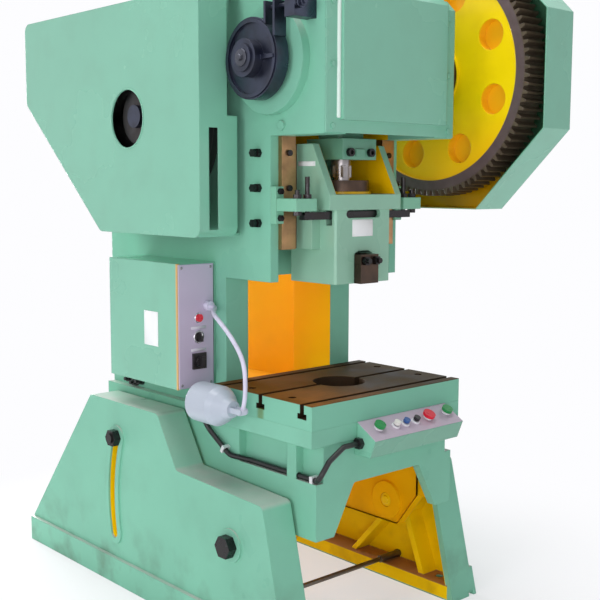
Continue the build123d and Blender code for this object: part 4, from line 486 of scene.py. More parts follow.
def enamel_with_yellow(name, areas, paint, extra=None):
    """Machine green with warning yellow inside the areas, which are masks."""
    scene = bpy.context.scene
    material, tree, place = open_material(name)
    colour = grimed(tree, place, tuple(scene.press_colours.enamel), GRIME)
    colour = dusted_and_toplit(tree, place, colour)
    yellow = grimed(tree, place, paint, GRIME_ON_YELLOW, 0.4, 0.4)
    masks = [area(tree, place) for area in areas]
    colour = painted(tree, colour, [(mask, yellow) for mask in masks])
    if extra:
        colour = extra(tree, place, colour)
    shader = sprayed(
        tree,
        place,
        colour,
        scene.press_sizes.cast_round,
        sheen=0.1,
        coat=0.05,
        matt=joined(tree, "MAXIMUM", masks),
    )
    return close_material(material, tree, shader)


def frame_enamel():
    """Grey iron, filled, rubbed down and sprayed: glossy with slow waves in it."""

    def under_roof(low, high):
        def area(tree, place):
            box = inside_box(tree, place, low, high)
            roof_line = (millimetres(*ROOF_POINT), ROOF_OUTWARD)
            roof = behind_lines(tree, place, (roof_line,))
            return joined(tree, "MULTIPLY", (box, roof))

        return area

    areas = (
        # Between the columns, from the throat to the open back
        box_area((-179, 228, -60), (179, 414, 740)),
        # Open-backed body behind the columns, under its sloping roof
        under_roof((-236, 407, -119), (236, 900, 1148)),
        # Hollow head behind the slide, under the same roof
        under_roof((-186, -20, 728), (186, 900, 1148)),
        # Hollow base under the bed
        box_area((-257, -178, -720), (257, 842, -119)),
        # Edges and inner faces of the two lugs that carry the pivots
        box_area((-289.4, -110, -720), (289.4, 842, -395)),
        # Arcs of the side plates that show through the legs' slots
        lambda tree, place: arc_band(tree, place, 24, 284, 296),
    )
    yellow = tuple(bpy.context.scene.press_colours.inside_yellow)
    return enamel_with_yellow("sprayed_enamel_on_frame", areas, yellow)


def leg_enamel():
    """The same enamel on the legs, yellow on every face that looks inward."""
    front = ((-222, -733), (-115, -288))
    shoulder = ((-115, -288), (298, -272))
    knee = ((298, -272), (398, -111))
    top = ((398, -111), (798, -111))
    back = ((798, -111), (1228, -640))
    heel = ((1228, -640), (1228, -733))
    wall = 20

    def hollow(outline):
        def area(tree, place):
            inner = behind_lines(tree, place, inset_lines(outline, wall))
            side = inside_box(tree, place, (-388, -400, -685), (388, 1400, -100))
            return joined(tree, "MULTIPLY", (inner, side))

        return area

    def brown_foot_band(tree, place, colour):
        # A thin brown band low down round the inside of the foot
        band = inside_box(tree, place, (-386.5, -196, -687), (386.5, 1208, -683), 1.5)
        return painted(tree, colour, ((band, hex_colour("A8764E")),))

    areas = (
        hollow((front, shoulder, back, heel)),
        hollow((knee, top, back, heel)),
        lambda tree, place: arc_band(tree, place, 20, 300, 407),
        # Inner rim of the foot
        box_area((-304, -196, -729), (304, 1215, -684)),
    )
    return enamel_with_yellow(
        "sprayed_enamel_on_legs", areas, hex_colour("FFD800"), brown_foot_band
    )


def slide_enamel():
    """Enamel on the slide, with its guide flanges left as scraped and oiled iron."""
    scene = bpy.context.scene
    material, tree, place = open_material("sprayed_enamel_on_slide")
    colour = grimed(tree, place, hex_colour("96C6AE"), GRIME)
    yellow = tuple(scene.press_colours.inside_yellow)
    oiled = tuple(scene.press_colours.oil_brown)
    areas = (
        ((-124.6, -112, 577.6), (124.6, 94, 800), yellow),
        ((151, 20, 300), (230, 110, 800), oiled),
        ((-230, 20, 300), (-151, 110, 800), oiled),
    )
    coats = [
        (inside_box(tree, place, low, high), paint) for low, high, paint in areas
    ]
    colour = painted(tree, colour, coats)
    shader = sprayed(tree, place, colour, scene.press_sizes.cast_round)
    return close_material(material, tree, shader)


def sheet_material(name, extra=None, **looks):
    """Enamel on folded steel sheet, flatter than on iron, with any further coats."""
    scene = bpy.context.scene
    material, tree, place = open_material(name)
    colour = grimed(tree, place, tuple(scene.press_colours.enamel), GRIME_ON_SHEET)
    if extra:
        colour = painted(tree, colour, extra(tree, place))
    shader = sprayed(tree, place, colour, scene.press_sizes.sheet_round, **looks)
    return close_material(material, tree, shader)


def sheet_enamel():
    """A little glossier than the iron, for the guards and covers."""
    return sheet_material(
        "sprayed_enamel_on_sheet", gloss=0.24, wave=0.5, patchy=0.03, coat=0.22
    )


def gear_guard_enamel():
    """Darker green inside the guard as painted shade, and orange on its floor."""
    corners = (
        (-425, 776), (-425, 1128), (-176, 1377), (176, 1377), (640, 1027), (640, 687),
        (176, 527), (-176, 527),
    )
    outline = list(zip(corners, (*corners[1:], corners[0])))
    wall = 2
    outer_face = (millimetres(566, 0, 0), TO_RIGHT)

    def coats(tree, place):
        inner = behind_lines(tree, place, (*inset_lines(outline, wall), outer_face))
        floor = inside_box(tree, place, (434, -215, 500), (600, 700, 640), 25.0)
        floor = joined(tree, "MULTIPLY", (inner, floor))
        yellow = tuple(bpy.context.scene.press_colours.inside_yellow)
        # The darker green on the inner faces is painted shade
        return (inner, hex_colour("538A6B")), (floor, yellow)

    return sheet_material(
        "sprayed_enamel_on_gear_guard", coats, gloss=0.26, wave=0.5, patchy=0.03
    )


def cabinet_enamel():
    """Enamel on the cabinet, with the cream strip down the edge by its panel."""

    def coats(tree, place):
        strip = inside_box(tree, place, (-420, 270, -20), (-400, 288, 369))
        return ((strip, hex_colour("E0B474")),)

    return sheet_material("sprayed_enamel_on_cabinet", coats, gloss=0.28, wave=0.4)


def station_enamel():
    """Enamel on the push-button station, lilac grey on its sloping top, with painted shade
    as darker green on its front face.
    """

    def coats(tree, place):
        faces = add_node(tree, "ShaderNodeTexCoord").outputs["Normal"]
        # The front face's darker green is painted shade; the sloping top's lilac grey is
        # its paint
        for facing, code in ((TO_FRONT, "527F69"), (STATION_SLOPE, "C4B4C6")):
            towards = add_node(
                tree,
                "ShaderNodeVectorMath",
                {0: faces, 1: facing},
                operation="DOT_PRODUCT",
            )
            mask = add_node(
                tree,
                "ShaderNodeMapRange",
                {0: towards.outputs["Value"], 1: 0.9, 2: 0.98},
            )
            yield mask, hex_colour(code)

    return sheet_material("sprayed_enamel_on_station", coats, gloss=0.28, wave=0.4)


def plain_enamel(name, code, gloss=0.3):
    """Sprayed enamel of one colour on a small part."""
    edge = bpy.context.scene.press_sizes.sheet_round * 0.6
    material, tree, place = open_material(name)
    shader = sprayed(
        tree, place, hex_colour(code), edge, gloss=gloss, wave=0.3, patchy=0.04
    )
    return close_material(material, tree, shader)


def machined(name, code, stain, rough=0.32, grain=0.0012, stain_amount=0.5):
    """Machined steel or iron: tool marks, thin oil and brown staining."""
    material, tree, place = open_material(name)
    marks = add_node(
        tree, "ShaderNodeTexNoise", {"Vector": place, "Scale": 1 / grain, "Detail": 2.0}
    )
    clouds = add_node(
        tree, "ShaderNodeTexNoise", {"Vector": place, "Scale": 22.0, "Detail": 7.0}
    )
    stained = add_node(
        tree,
        "ShaderNodeMapRange",
        {0: clouds, 1: 0.42, 2: 0.68, 3: 0.0, 4: stain_amount},
    )
    metal = add_node(
        tree, "ShaderNodeMapRange", {0: stained, 1: 0.0, 2: 1.0, 3: 1.0, 4: 0.35}
    )
    roughness = add_node(
        tree,
        "ShaderNodeMapRange",
        {0: clouds, 1: 0.3, 2: 0.7, 3: rough - 0.08, 4: rough + 0.14},
    )
    colour = painted(tree, hex_colour(code), ((stained, hex_colour(stain)),))
    shader = add_node(
        tree,
        "ShaderNodeBsdfPrincipled",
        {
            "Base Color": colour,
            "Metallic": metal,
            "Roughness": roughness,
            "Normal": relief(tree, 1.0 * MM, ((marks, 0.0003, 0.35),)),
        },
    )
    return close_material(material, tree, shader)


def table_iron():
    """Planed grey iron under old oil on top, enamelled on its four sides."""
    material, tree, place = open_material("oiled_iron_table")
    across = add_node(
        tree, "ShaderNodeMapping", {"Vector": place, "Scale": (4.0, 260.0, 4.0)}
    )
    planing = add_node(
        tree, "ShaderNodeTexNoise", {"Vector": across, "Scale": 1.0, "Detail": 3.0}
    )
    pools = add_node(
        tree,
        "ShaderNodeTexNoise",
        {"Vector": place, "Scale": 7.0, "Detail": 9.0, "Distortion": 0.6},
    )
    film = add_node(tree, "ShaderNodeMapRange", {0: pools, 1: 0.35, 2: 0.66})
    length = add_node(tree, "ShaderNodeSeparateXYZ", {0: place})
    right = add_node(
        tree,
        "ShaderNodeMapRange",
        {0: length.outputs[0], 1: -0.3, 2: 0.1},
        interpolation_type="SMOOTHSTEP",
    )
    dry = painted(tree, hex_colour("8E5C2C"), ((right, hex_colour("554630")),))
    wet = painted(tree, hex_colour("5E3E1C"), ((right, hex_colour("2E2618")),))
    dark = add_node(
        tree, "ShaderNodeMapRange", {0: planing, 1: 0.3, 2: 0.7, 3: 0.85, 4: 1.1}
    )
    oiled = add_node(
        tree,
        "ShaderNodeHueSaturation",
        {"Color": painted(tree, dry, ((film, wet),)), "Value": dark},
    )
    body = inside_box(tree, place, (-700, -700, -400), (700, 700, -1.5))
    core = inside_box(tree, place, (-313.5, -215.5, -400), (313.5, 223.5, 10))
    run = inside_box(tree, place, (-320, -9, -74), (-308, 15, -36), 7.0)
    mottled = add_node(
        tree, "ShaderNodeMapRange", {0: pools, 1: 0.3, 2: 0.6, 3: 0.45, 4: 0.95}
    )
    run = joined(tree, "MULTIPLY", (run, mottled))
    sides = painted(
        tree,
        tuple(bpy.context.scene.press_colours.enamel),
        ((core, hex_colour("3A2C20")), (run, hex_colour("6E7A2E"))),
    )
    rough = add_node(
        tree, "ShaderNodeMapRange", {0: film, 1: 0.0, 2: 1.0, 3: 0.65, 4: 0.45}
    )
    shader = add_node(
        tree,
        "ShaderNodeBsdfPrincipled",
        {
            "Base Color": painted(tree, oiled, ((body, sides),)),
            "Roughness": rough,
            "Normal": relief(tree, 1.5 * MM, ((planing, 0.0002, 0.4),)),
            "Specular IOR Level": 0.06,
        },
    )
    return close_material(material, tree, shader)


def gear_paint():
    """Cast gear: yellow web, painted shade in orange low down and in its pockets,
    grey-purple turned rim, brown grease on the teeth.
    """
    material, tree, place = open_material("cast_gear_with_grease")
    reach = distance_from_axis(tree, place, CRANK_AXIS)
    wander = add_node(
        tree, "ShaderNodeTexNoise", {"Vector": place, "Scale": 30.0, "Detail": 5.0}
    )
    web = grimed(tree, place, hex_colour("FFDE00"), hex_colour("B07418"), 2.5, 0.35)
    low = add_node(tree, "ShaderNodeSeparateXYZ", {0: place})
    # Painted shade: the web turns orange towards its bottom
    shaded_low_web = add_node(
        tree,
        "ShaderNodeMapRange",
        {0: low.outputs[2], 1: 0.9, 2: 0.66, 3: 0.0, 4: 0.75},
        interpolation_type="SMOOTHSTEP",
    )
    # Painted shade: the web's pockets in a deeper yellow
    shaded_pockets = inside_box(tree, place, (423, -400, 500), (456, 400, 1400), 3.0)
    rim = painted(tree, hex_colour("6E5C5E"), ((wander, hex_colour("4C3E40")),))
    greased = painted(tree, hex_colour("6A5C4C"), ((wander, hex_colour("3E3228")),))
    past_web, past_root = [
        add_node(tree, "ShaderNodeMapRange", {0: reach, 1: near, 2: far})
        for near, far in (WEB_EDGE, TOOTH_ROOT)
    ]
    coats = (
        (shaded_low_web, hex_colour("FFC000")),
        (shaded_pockets, hex_colour("FFC41A")),
        (past_web, rim),
        (past_root, greased),
    )
    colour = painted(tree, web, coats)
    shader = sprayed(tree, place, colour, 1.5 * MM, gloss=0.32, wave=0.4)
    return close_material(material, tree, shader)


def moulded(name, code, rough=0.35, strength=0.15):
    """Moulded plastic or rubber: even colour and a fine mould texture."""
    material, tree, place = open_material(name)
    grain = 1.5 * MM
    texture = add_node(
        tree, "ShaderNodeTexNoise", {"Vector": place, "Scale": 1 / grain, "Detail": 2.0}
    )
    smudge = add_node(
        tree, "ShaderNodeTexNoise", {"Vector": place, "Scale": 45.0, "Detail": 4.0}
    )
    roughness = add_node(
        tree,
        "ShaderNodeMapRange",
        {0: smudge, 1: 0.3, 2: 0.7, 3: rough - 0.06, 4: rough + 0.1},
    )
    value = add_node(
        tree, "ShaderNodeMapRange", {0: smudge, 1: 0.3, 2: 0.7, 3: 0.94, 4: 1.04}
    )
    toned = add_node(
        tree, "ShaderNodeHueSaturation", {"Color": hex_colour(code), "Value": value}
    )
    shader = add_node(
        tree,
        "ShaderNodeBsdfPrincipled",
        {
            "Base Color": toned,
            "Roughness": roughness,
            "Normal": relief(tree, 0.8 * MM, ((texture, 0.0002, strength),)),
            "IOR": 1.49,
        },
    )
    return close_material(material, tree, shader)


def add_turned(shape, steps, at, axis, sides=32):
    """Adds a turned shape: its half section in millimetres, spun round an axis."""
    before = set(shape.verts)
    outline = [shape.verts.new(millimetres(r, 0, h)) for r, h in steps]
    edges = [shape.edges.new(pair) for pair in zip(outline, outline[1:])]
    bmesh.ops.spin(
        shape,
        geom=outline + edges,
        cent=(0, 0, 0),
        axis=UPWARD,
        dvec=(0, 0, 0),
        angle=math.tau,
        steps=sides,
        use_merge=True,
        use_duplicate=False,
    )
    made = [vert for vert in shape.verts if vert not in before]
    bmesh.ops.remove_doubles(shape, verts=made, dist=0.01 * MM)
    made = [vert for vert in shape.verts if vert not in before]
    turn = Vector(UPWARD).rotation_difference(Vector(axis)).to_matrix().to_4x4()
    place = Matrix.Translation(millimetres(*at)) @ turn
    bmesh.ops.transform(shape, matrix=place, verts=made)


def round_edges(shape, edges, radius, segments):
    """Rounds the edges by a radius in millimetres."""
    bmesh.ops.bevel(
        shape,
        geom=edges,
        offset=radius * MM,
        offset_type="OFFSET",
        segments=segments,
        profile=0.5,
        affect="EDGES",
        material=-1,
        clamp_overlap=True,
    )


def add_slab(shape, middle, size, edge, turn=Matrix()):
    """Adds a flat piece with rounded edges, sizes in millimetres."""
    before = set(shape.verts)
    bmesh.ops.create_cube(shape, size=1.0)
    made = [vert for vert in shape.verts if vert not in before]
    bmesh.ops.scale(shape, vec=millimetres(*size), verts=made)
    edges = [one for one in shape.edges if one.verts[0] not in before]
    round_edges(shape, edges, edge, 2)
    made = [vert for vert in shape.verts if vert not in before]
    place = Matrix.Translation(millimetres(*middle)) @ turn
    bmesh.ops.transform(shape, matrix=place, verts=made)


def bead_steps(inner, wall):
    """Half section of a ring 5 mm wide that is chamfered on top and sunk by 1 mm."""
    return (
        (inner, -1.0),
        (inner + 5.0, -1.0),
        (inner + 5.0, wall),
        (inner + 3.6, 2.6),
        (inner + 1.4, 2.6),
        (inner, wall),
        (inner, -1.0),
    )


def close_piece(shape, name, body, material):
    """Makes the finished mesh a piece of the press that moves with a body."""
    bmesh.ops.recalc_face_normals(shape, faces=shape.faces)
    mesh = bpy.data.meshes.new(name)
    shape.to_mesh(mesh)
    shape.free()
    mesh.shade_smooth()
    mesh.set_sharp_from_angle(angle=math.radians(32))
    piece = bpy.data.objects.new(name, mesh)
    bpy.context.scene.collection.objects.link(piece)
    mesh.materials.append(material)
    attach(piece, body)


def finish(material, *names):
    """Gives the CAD nodes the material, in place of what they came with."""
    for name in names:
        slots = nodes[name].data.materials
        slots.clear()
        slots.append(material)


class PRESS_OT_finish_castings(bpy.types.Operator):
    """Enamels the frame, the legs and the slide, yellow where they are hollow"""

    bl_idname = "press.finish_castings"
    bl_label = "Castings"

    def execute(self, context):
        finish(frame_enamel(), "press_frame")
        finish(leg_enamel(), "left_leg", "right_leg")
        finish(slide_enamel(), "slide")
        rod_green = plain_enamel("sprayed_enamel_on_rod", "6FA78E")
        finish(rod_green, "connecting_rod", "rod_cap")
        finish(plain_enamel("sprayed_enamel_on_stops", "84C2A6"), "knockout_stops")
        return {"FINISHED"}


class PRESS_OT_finish_sheet_metal(bpy.types.Operator):
    """Enamels the guards, the cabinet, the station and the crank cover"""

    bl_idname = "press.finish_sheet_metal"
    bl_label = "Sheet metal"

    def execute(self, context):
        covers = ("flywheel_guard", "crank_cover", "cover_screws", "motor_plate")
        finish(sheet_enamel(), *covers)
        finish(gear_guard_enamel(), "gear_guard")
        finish(cabinet_enamel(), "cabinet")
        finish(station_enamel(), "control_station")
        lilac = plain_enamel("powder_coated_panel", "C6B8D2", gloss=0.42)
        finish(lilac, "cabinet_panel")
        return {"FINISHED"}


class PRESS_OT_finish_steelwork(bpy.types.Operator):
    """Gives the shafts, screws, guides and table their machined finishes"""

    bl_idname = "press.finish_steelwork"
    bl_label = "Steelwork"

    def execute(self, context):
        finish(table_iron(), "bolster_plate")
        finish(
            machined("blackened_steel", "3A383A", "2C2420", 0.25, 0.002, 0.35),
            "pivot_bolts",
            "bolster_screws",
            "adjusting_screws",
            "tilt_clamp_bolts",
            "clamp_nuts",
            "rod_bolts",
            "gear_nut",
            "knockout_bar",
        )
        finish(
            machined("ground_steel", "A39EA0", "5F5047", 0.26, 0.0012, 0.3),
            "ball_screw",
        )
        finish(
            machined("drawn_bar", "6C655F", "4A3830", 0.4, 0.002, 0.5),
            "tie_rods",
            "tie_rod_nuts",
        )
        finish(
            machined("oiled_cast_steel", "55453C", "33241B", 0.34, 0.0025, 0.7),
            "shank_clamp",
            "pinion",
            "clutch_collar",
            "ball_cap",
        )
        finish(
            machined("tin_bronze", "B48C66", "6E4E36", 0.36, 0.0015, 0.5),
            "gibs",
            "crank_bushes",
        )
        finish(
            machined("blued_cast_iron", "4A4E5E", "2A2A30", 0.34, 0.003, 0.5),
            "brake_drum",
            "brake_band",
            "brake_bracket",
            "brake_spring",
            "crankshaft",
            "back_shaft",
        )
        return {"FINISHED"}


class PRESS_OT_finish_drive(bpy.types.Operator):
    """Finishes the gear, the flywheel, the belts and the motor"""

    bl_idname = "press.finish_drive"
    bl_label = "Drive"

    def execute(self, context):
        finish(gear_paint(), "main_gear")
        iron = machined("turned_grey_iron", "4D4A4C", "2A211C", 0.4, 0.002, 0.6)
        finish(iron, "flywheel", "motor_pulley")
        finish(moulded("rubber_v_belt", "1C1B1C", 0.6), "v_belts")
        finish(plain_enamel("motor_grey_enamel", "6F7C86"), "motor")
        finish(plain_enamel("bearing_housing_enamel", "84C2A6"), "shaft_bearings")
        return {"FINISHED"}


class PRESS_OT_finish_electrics(bpy.types.Operator):
    """Finishes the buttons, switches, conduit and lamp"""

    bl_idname = "press.finish_electrics"
    bl_label = "Electrics"

    def execute(self, context):
        green = moulded("green_button_nylon", "1F8E4A", 0.28)
        finish(green, "left_palm_button", "right_palm_button")
        finish(moulded("white_button_nylon", "EDEBE6", 0.3), "pilot_button_1")
        finish(moulded("blue_button_nylon", "355E9E", 0.3), "pilot_button_2")
        finish(moulded("black_button_nylon", "232224", 0.3), "pilot_button_3")
        red = moulded("red_button_nylon", "DC1030", 0.26)
        finish(red, "stop_button", "indicator_lens")
        black = moulded("black_bakelite", "221F22", 0.3)
        finish(black, "selector_knob", "switch_plate", "main_switch")
        sheath = moulded("black_pvc_conduit", "1B1A1C", 0.34)
        finish(sheath, "control_conduit", "cable_glands")
        finish(moulded("white_nylon_clip", "E6E6EA", 0.35), "conduit_clips")
        finish(moulded("white_coated_gooseneck", "D9D4EA", 0.3), "lamp_gooseneck")
        finish(plain_enamel("silver_lamp_paint", "B8C0CE"), "lamp_shade")
        return {"FINISHED"}


class PRESS_OT_fit_blank_plates(bpy.types.Operator):
    """Pins the blank plates on the cabinet, the slide's nose and its left cheek"""

    bl_idname = "press.fit_blank_plates"
    bl_label = "Blank plates"

    def execute(self, context):
        white = plain_enamel("white_enamelled_plate", "FAFBFD", gloss=0.34)
        pin = ((0, 1.5), (1.4, 1.2), (2.3, 0.5), (2.5, 0.0), (0, 0))
        pin_margin = 5.0
        # Name, body, middle, size and the number of the axis that it faces along
        plates = (
            ("cabinet_plate", "frame", (-409.6, 421.0, 158.0), (1.2, 76.0, 108.0), 0),
            ("nose_plate", "ram", (-5.0, -100.6, 478.0), (86.0, 1.2, 50.0), 1),
            ("scale_plate", "ram", (-150.6, -12.0, 666.0), (1.2, 74.0, 14.0), 0),
        )
        for name, body, middle, size, flat in plates:
            shape = bmesh.new()
            add_slab(shape, middle, size, 0.4)
            outward = Vector((0.0, 0.0, 0.0))
            outward[flat] = -1.0
            along = 1 - flat
            # A narrow strip has its pins on its middle line
            inset = pin_margin if size[2] > 20 else size[2] / 2
            for side in (-1, 1):
                for end in (-1, 1):
                    at = Vector(middle) + outward * 0.5
                    at[along] += side * (size[along] / 2 - pin_margin)
                    at[2] += end * (size[2] / 2 - inset)
                    add_turned(shape, pin, at, outward, 16)
            close_piece(shape, name, body, white)
        return {"FINISHED"}


class PRESS_OT_fit_button_rings(bpy.types.Operator):
    """Screws a pale ferrule round each button on the station's sloping top"""

    bl_idname = "press.fit_button_rings"
    bl_label = "Button rings"

    def execute(self, context):
        pale = moulded("white_nylon_ferrule", "F0ECF4", 0.22)
        ferrule = (
            (9.5, 0.0), (13.6, 0.0), (13.6, 1.4), (12.4, 3.4), (11.0, 4.6), (9.5, 4.6),
            (9.5, 0.0),
        )
        slope_top = (-217.5, -69.0)
        down = Vector((0.0, -74.5, -44.0)).normalized()
        # Each button's place across the station, and down its slope
        places = (
            (-86.0, 40.0), (-19.0, 46.0), (22.0, 46.0), (67.0, 46.0), (125.0, 42.0),
            (213.0, 38.0),
        )
        shape = bmesh.new()
        for x, run in places:
            at = Vector((x, *slope_top)) + down * run
            add_turned(shape, ferrule, at, STATION_SLOPE, 36)
        close_piece(shape, "button_rings", "frame", pale)
        return {"FINISHED"}


class PRESS_OT_fit_panel_trim(bpy.types.Operator):
    """Fits the bezels, blank legend plates and corner screws of the panel"""

    bl_idname = "press.fit_panel_trim"
    bl_label = "Panel trim"

    def execute(self, context):
        shape = bmesh.new()
        # Inner and outer radius, wall, lip radius, height, and place up the panel
        bezels = (
            (15.8, 20.0, 2.2, 18.0, 4.0, 140.0),
            (12.0, 15.6, 2.0, 13.8, 3.6, 199.0),
        )
        for inner, outer, wall, lip, high, z in bezels:
            steps = (
                (inner, 0.0),
                (outer, 0.0),
                (outer, wall),
                (lip, high),
                (inner, high),
                (inner, 0.0),
            )
            add_turned(shape, steps, (PANEL_X, PANEL_Y, z), TO_FRONT, 48)
        plated = machined("chromed_bezel", "C9C6CE", "8C878E", 0.18, 0.002, 0.2)
        close_piece(shape, "panel_bezels", "frame", plated)

        shape = bmesh.new()
        for z in (169.0, 100.0):
            add_slab(shape, (PANEL_X, PANEL_Y - 0.4, z), (56.0, 1.0, 9.0), 0.3)
        legend = plain_enamel("blank_legend_strip", "D6D0DE", gloss=0.4)
        close_piece(shape, "legend_strips", "frame", legend)

        shape = bmesh.new()
        head = ((0, 2.6), (2.4, 2.4), (4.0, 1.3), (4.4, 0.0), (0, 0))
        for x in (-396.0, -287.0):
            for z in (-5.0, 354.0):
                add_turned(shape, head, (x, PANEL_Y, z), TO_FRONT, 20)
        screws = machined("zinc_plated_screw", "9C989E", "5A5250", 0.3, 0.002, 0.3)
        close_piece(shape, "panel_screws", "frame", screws)

        shape = bmesh.new()
        add_slab(shape, (PANEL_X, 255.7, 149.0), (4.0, 1.0, 6.5), 0.3)
        pointer = moulded("white_nylon_pointer", "F2F0F4", 0.3)
        close_piece(shape, "selector_pointer", "selector", pointer)
        return {"FINISHED"}


class PRESS_OT_fit_lug_rims(bpy.types.Operator):
    """Raises the cast rim round each pivot lug's inner face"""

    bl_idname = "press.fit_lug_rims"
    bl_label = "Lug rims"

    def execute(self, context):
        yellow = tuple(context.scene.press_colours.inside_yellow)
        material, tree, place = open_material("sprayed_yellow_on_rims")
        colour = grimed(tree, place, yellow, GRIME_ON_YELLOW, 0.4, 0.4)
        shader = sprayed(tree, place, colour, 3.0 * MM, gloss=0.5)
        close_material(material, tree, shader)
        lug_face_x = 256.5
        corners = (
            (-105.0, -300.0), (-105.0, -393.0), (-21.0, -508.0), (247.0, -508.0),
            (420.0, -440.0), (420.0, -300.0),
        )
        # No rim is kept above the first of these heights, or behind the second place.
        # Open fault: the inset comes out with no width, so the rim doesn't show
        highest_rim = -0.325
        farthest_rim = 0.4
        for name, side in (("left_lug_rim", -1), ("right_lug_rim", 1)):
            shape = bmesh.new()
            shape.faces.new(
                [
                    shape.verts.new(millimetres(side * lug_face_x, y, z))
                    for y, z in corners
                ]
            )
            rim = bmesh.ops.inset_region(
                shape,
                faces=shape.faces[:],
                thickness=15.0 * MM,
                use_boundary=True,
                use_even_offset=True,
            )["faces"]
            middles = [(face, face.calc_center_median()) for face in rim]
            kept = [
                face
                for face, middle in middles
                if middle.z < highest_rim and middle.y < farthest_rim
            ]
            dropped = [face for face in shape.faces if face not in kept]
            bmesh.ops.delete(shape, geom=dropped, context="FACES")
            raised = bmesh.ops.extrude_face_region(shape, geom=shape.faces[:])
            verts = [
                item for item in raised["geom"] if isinstance(item, bmesh.types.BMVert)
            ]
            bmesh.ops.translate(shape, vec=millimetres(-side * 9.0, 0, 0), verts=verts)
            tops = [
                edge
                for edge in shape.edges
                if all(vert in verts for vert in edge.verts)
            ]
            round_edges(shape, tops, 3.5, 3)
            close_piece(shape, name, "frame", material)
        return {"FINISHED"}


class PRESS_OT_fit_cover_beads(bpy.types.Operator):
    """Lays smoothed beads along the crank cover's edges, near-white as a painted
    highlight, and the weld bead round the guard's hole
    """

    bl_idname = "press.fit_cover_beads"
    bl_label = "Cover beads"

    def execute(self, context):
        green = sheet_enamel()
        # Near-white enamel for the crank cover's beads: a painted highlight on the cover's
        # edges
        rubbed = plain_enamel("painted_highlight_on_bead", "E4F2EC", gloss=0.2)
        rod = ((0, 0), (4.0, 0.6), (6.2, 3.0), (6.2, 328.0), (4.0, 331.0), (0, 332.0))
        shape = bmesh.new()
        for side in (-1, 1):
            add_turned(shape, rod, (side * 219.0, -215.0, 786.0), UPWARD, 24)
        close_piece(shape, "cover_highlight_beads", "frame", rubbed)
        shape = bmesh.new()
        add_turned(shape, bead_steps(88.0, 1.0), (-435.0, 500.0, 805.0), TO_LEFT, 72)
        close_piece(shape, "guard_hole_bead", "frame", green)
        return {"FINISHED"}


class PRESS_OT_fit_crank_end(bpy.types.Operator):
    """Screws the keeper washer and its bolt into the crankshaft's left end"""

    bl_idname = "press.fit_crank_end"
    bl_label = "Crank end"

    def execute(self, context):
        steel = machined("worn_steel_washer", "5A5C66", "2B2A2C", 0.28, 0.002, 0.4)
        washer = ((0, 0), (24.0, 0), (24.0, 2.6), (23.0, 3.6), (0, 3.6))
        bolt = ((0, 0), (9.5, 0), (9.5, 4.2), (8.2, 6.4), (4.0, 7.0), (0, 7.0))
        shape = bmesh.new()
        for steps, x, sides in ((washer, -385.0, 40), (bolt, -388.5, 6)):
            add_turned(shape, steps, (x, 0.0, 952.0), TO_LEFT, sides)
        close_piece(shape, "crank_end_keeper", "crank", steel)
        return {"FINISHED"}


class PRESS_OT_fit_oilers(bpy.types.Operator):
    """Stands the lidded oilers over the crank bushes on the head's top"""

    bl_idname = "press.fit_oilers"
    bl_label = "Oilers"

    def execute(self, context):
        brass = machined("turned_brass_oiler", "A8864A", "5A4526", 0.3, 0.0015, 0.4)
        oiler = (
            (0, 0), (9.0, 0), (9.0, 5.0), (6.0, 6.0), (6.0, 9.0), (10.5, 10.0),
            (10.5, 21.0), (9.0, 23.5), (4.0, 25.0), (0, 25.2),
        )
        shape = bmesh.new()
        for x in (-225.0, 225.0):
            add_turned(shape, oiler, (x, 20.0, 1172.0), UPWARD)
        close_piece(shape, "crank_oilers", "frame", brass)
        return {"FINISHED"}


class PRESS_OT_fit_lamp_bulb(bpy.types.Operator):
    """Puts the holder and the bulb inside the lamp's shade"""

    bl_idname = "press.fit_lamp_bulb"
    bl_label = "Lamp bulb"

    def execute(self, context):
        ahead = (0.0, 1.0, 0.0)
        socket = (
            (0, 66.0), (17.0, 66.0), (17.0, 88.0), (15.5, 92.0), (15.5, 98.0),
            (0, 98.0),
        )
        bulb = (
            (0, 97.0), (13.0, 97.0), (15.0, 104.0), (22.0, 118.0), (28.0, 132.0),
            (29.5, 143.0), (27.0, 155.0), (20.0, 166.0), (9.0, 172.5), (0, 174.0),
        )
        shape = bmesh.new()
        add_turned(shape, socket, LAMP_KNOB, ahead)
        holder = moulded("black_bakelite_holder", "221F22", 0.3)
        close_piece(shape, "lamp_holder", "lamp", holder)
        shape = bmesh.new()
        add_turned(shape, bulb, LAMP_KNOB, ahead, 40)
        opal = moulded("opal_glass_bulb", "F3F1EC", 0.16, strength=0.02)
        close_piece(shape, "lamp_bulb", "lamp", opal)
        return {"FINISHED"}


class PRESS_OT_fit_pivot_ends(bpy.types.Operator):
    """Fills the pivot holes inside the arch with the painted ends of the bolts"""

    bl_idname = "press.fit_pivot_ends"
    bl_label = "Pivot ends"

    def execute(self, context):
        yellow = plain_enamel("yellow_enamel_on_pivots", "FFD800")
        bolt_end = (
            (0, -1.0), (23.0, -1.0), (23.0, 9.0), (21.5, 10.5), (14.0, 10.5),
            (14.0, 15.0), (12.0, 17.0), (0, 17.0),
        )
        shape = bmesh.new()
        for side in (-1, 1):
            at = (side * 256.0, 26.0, -436.0)
            add_turned(shape, bolt_end, at, (-side, 0.0, 0.0))
        close_piece(shape, "pivot_ends", "base", yellow)
        return {"FINISHED"}


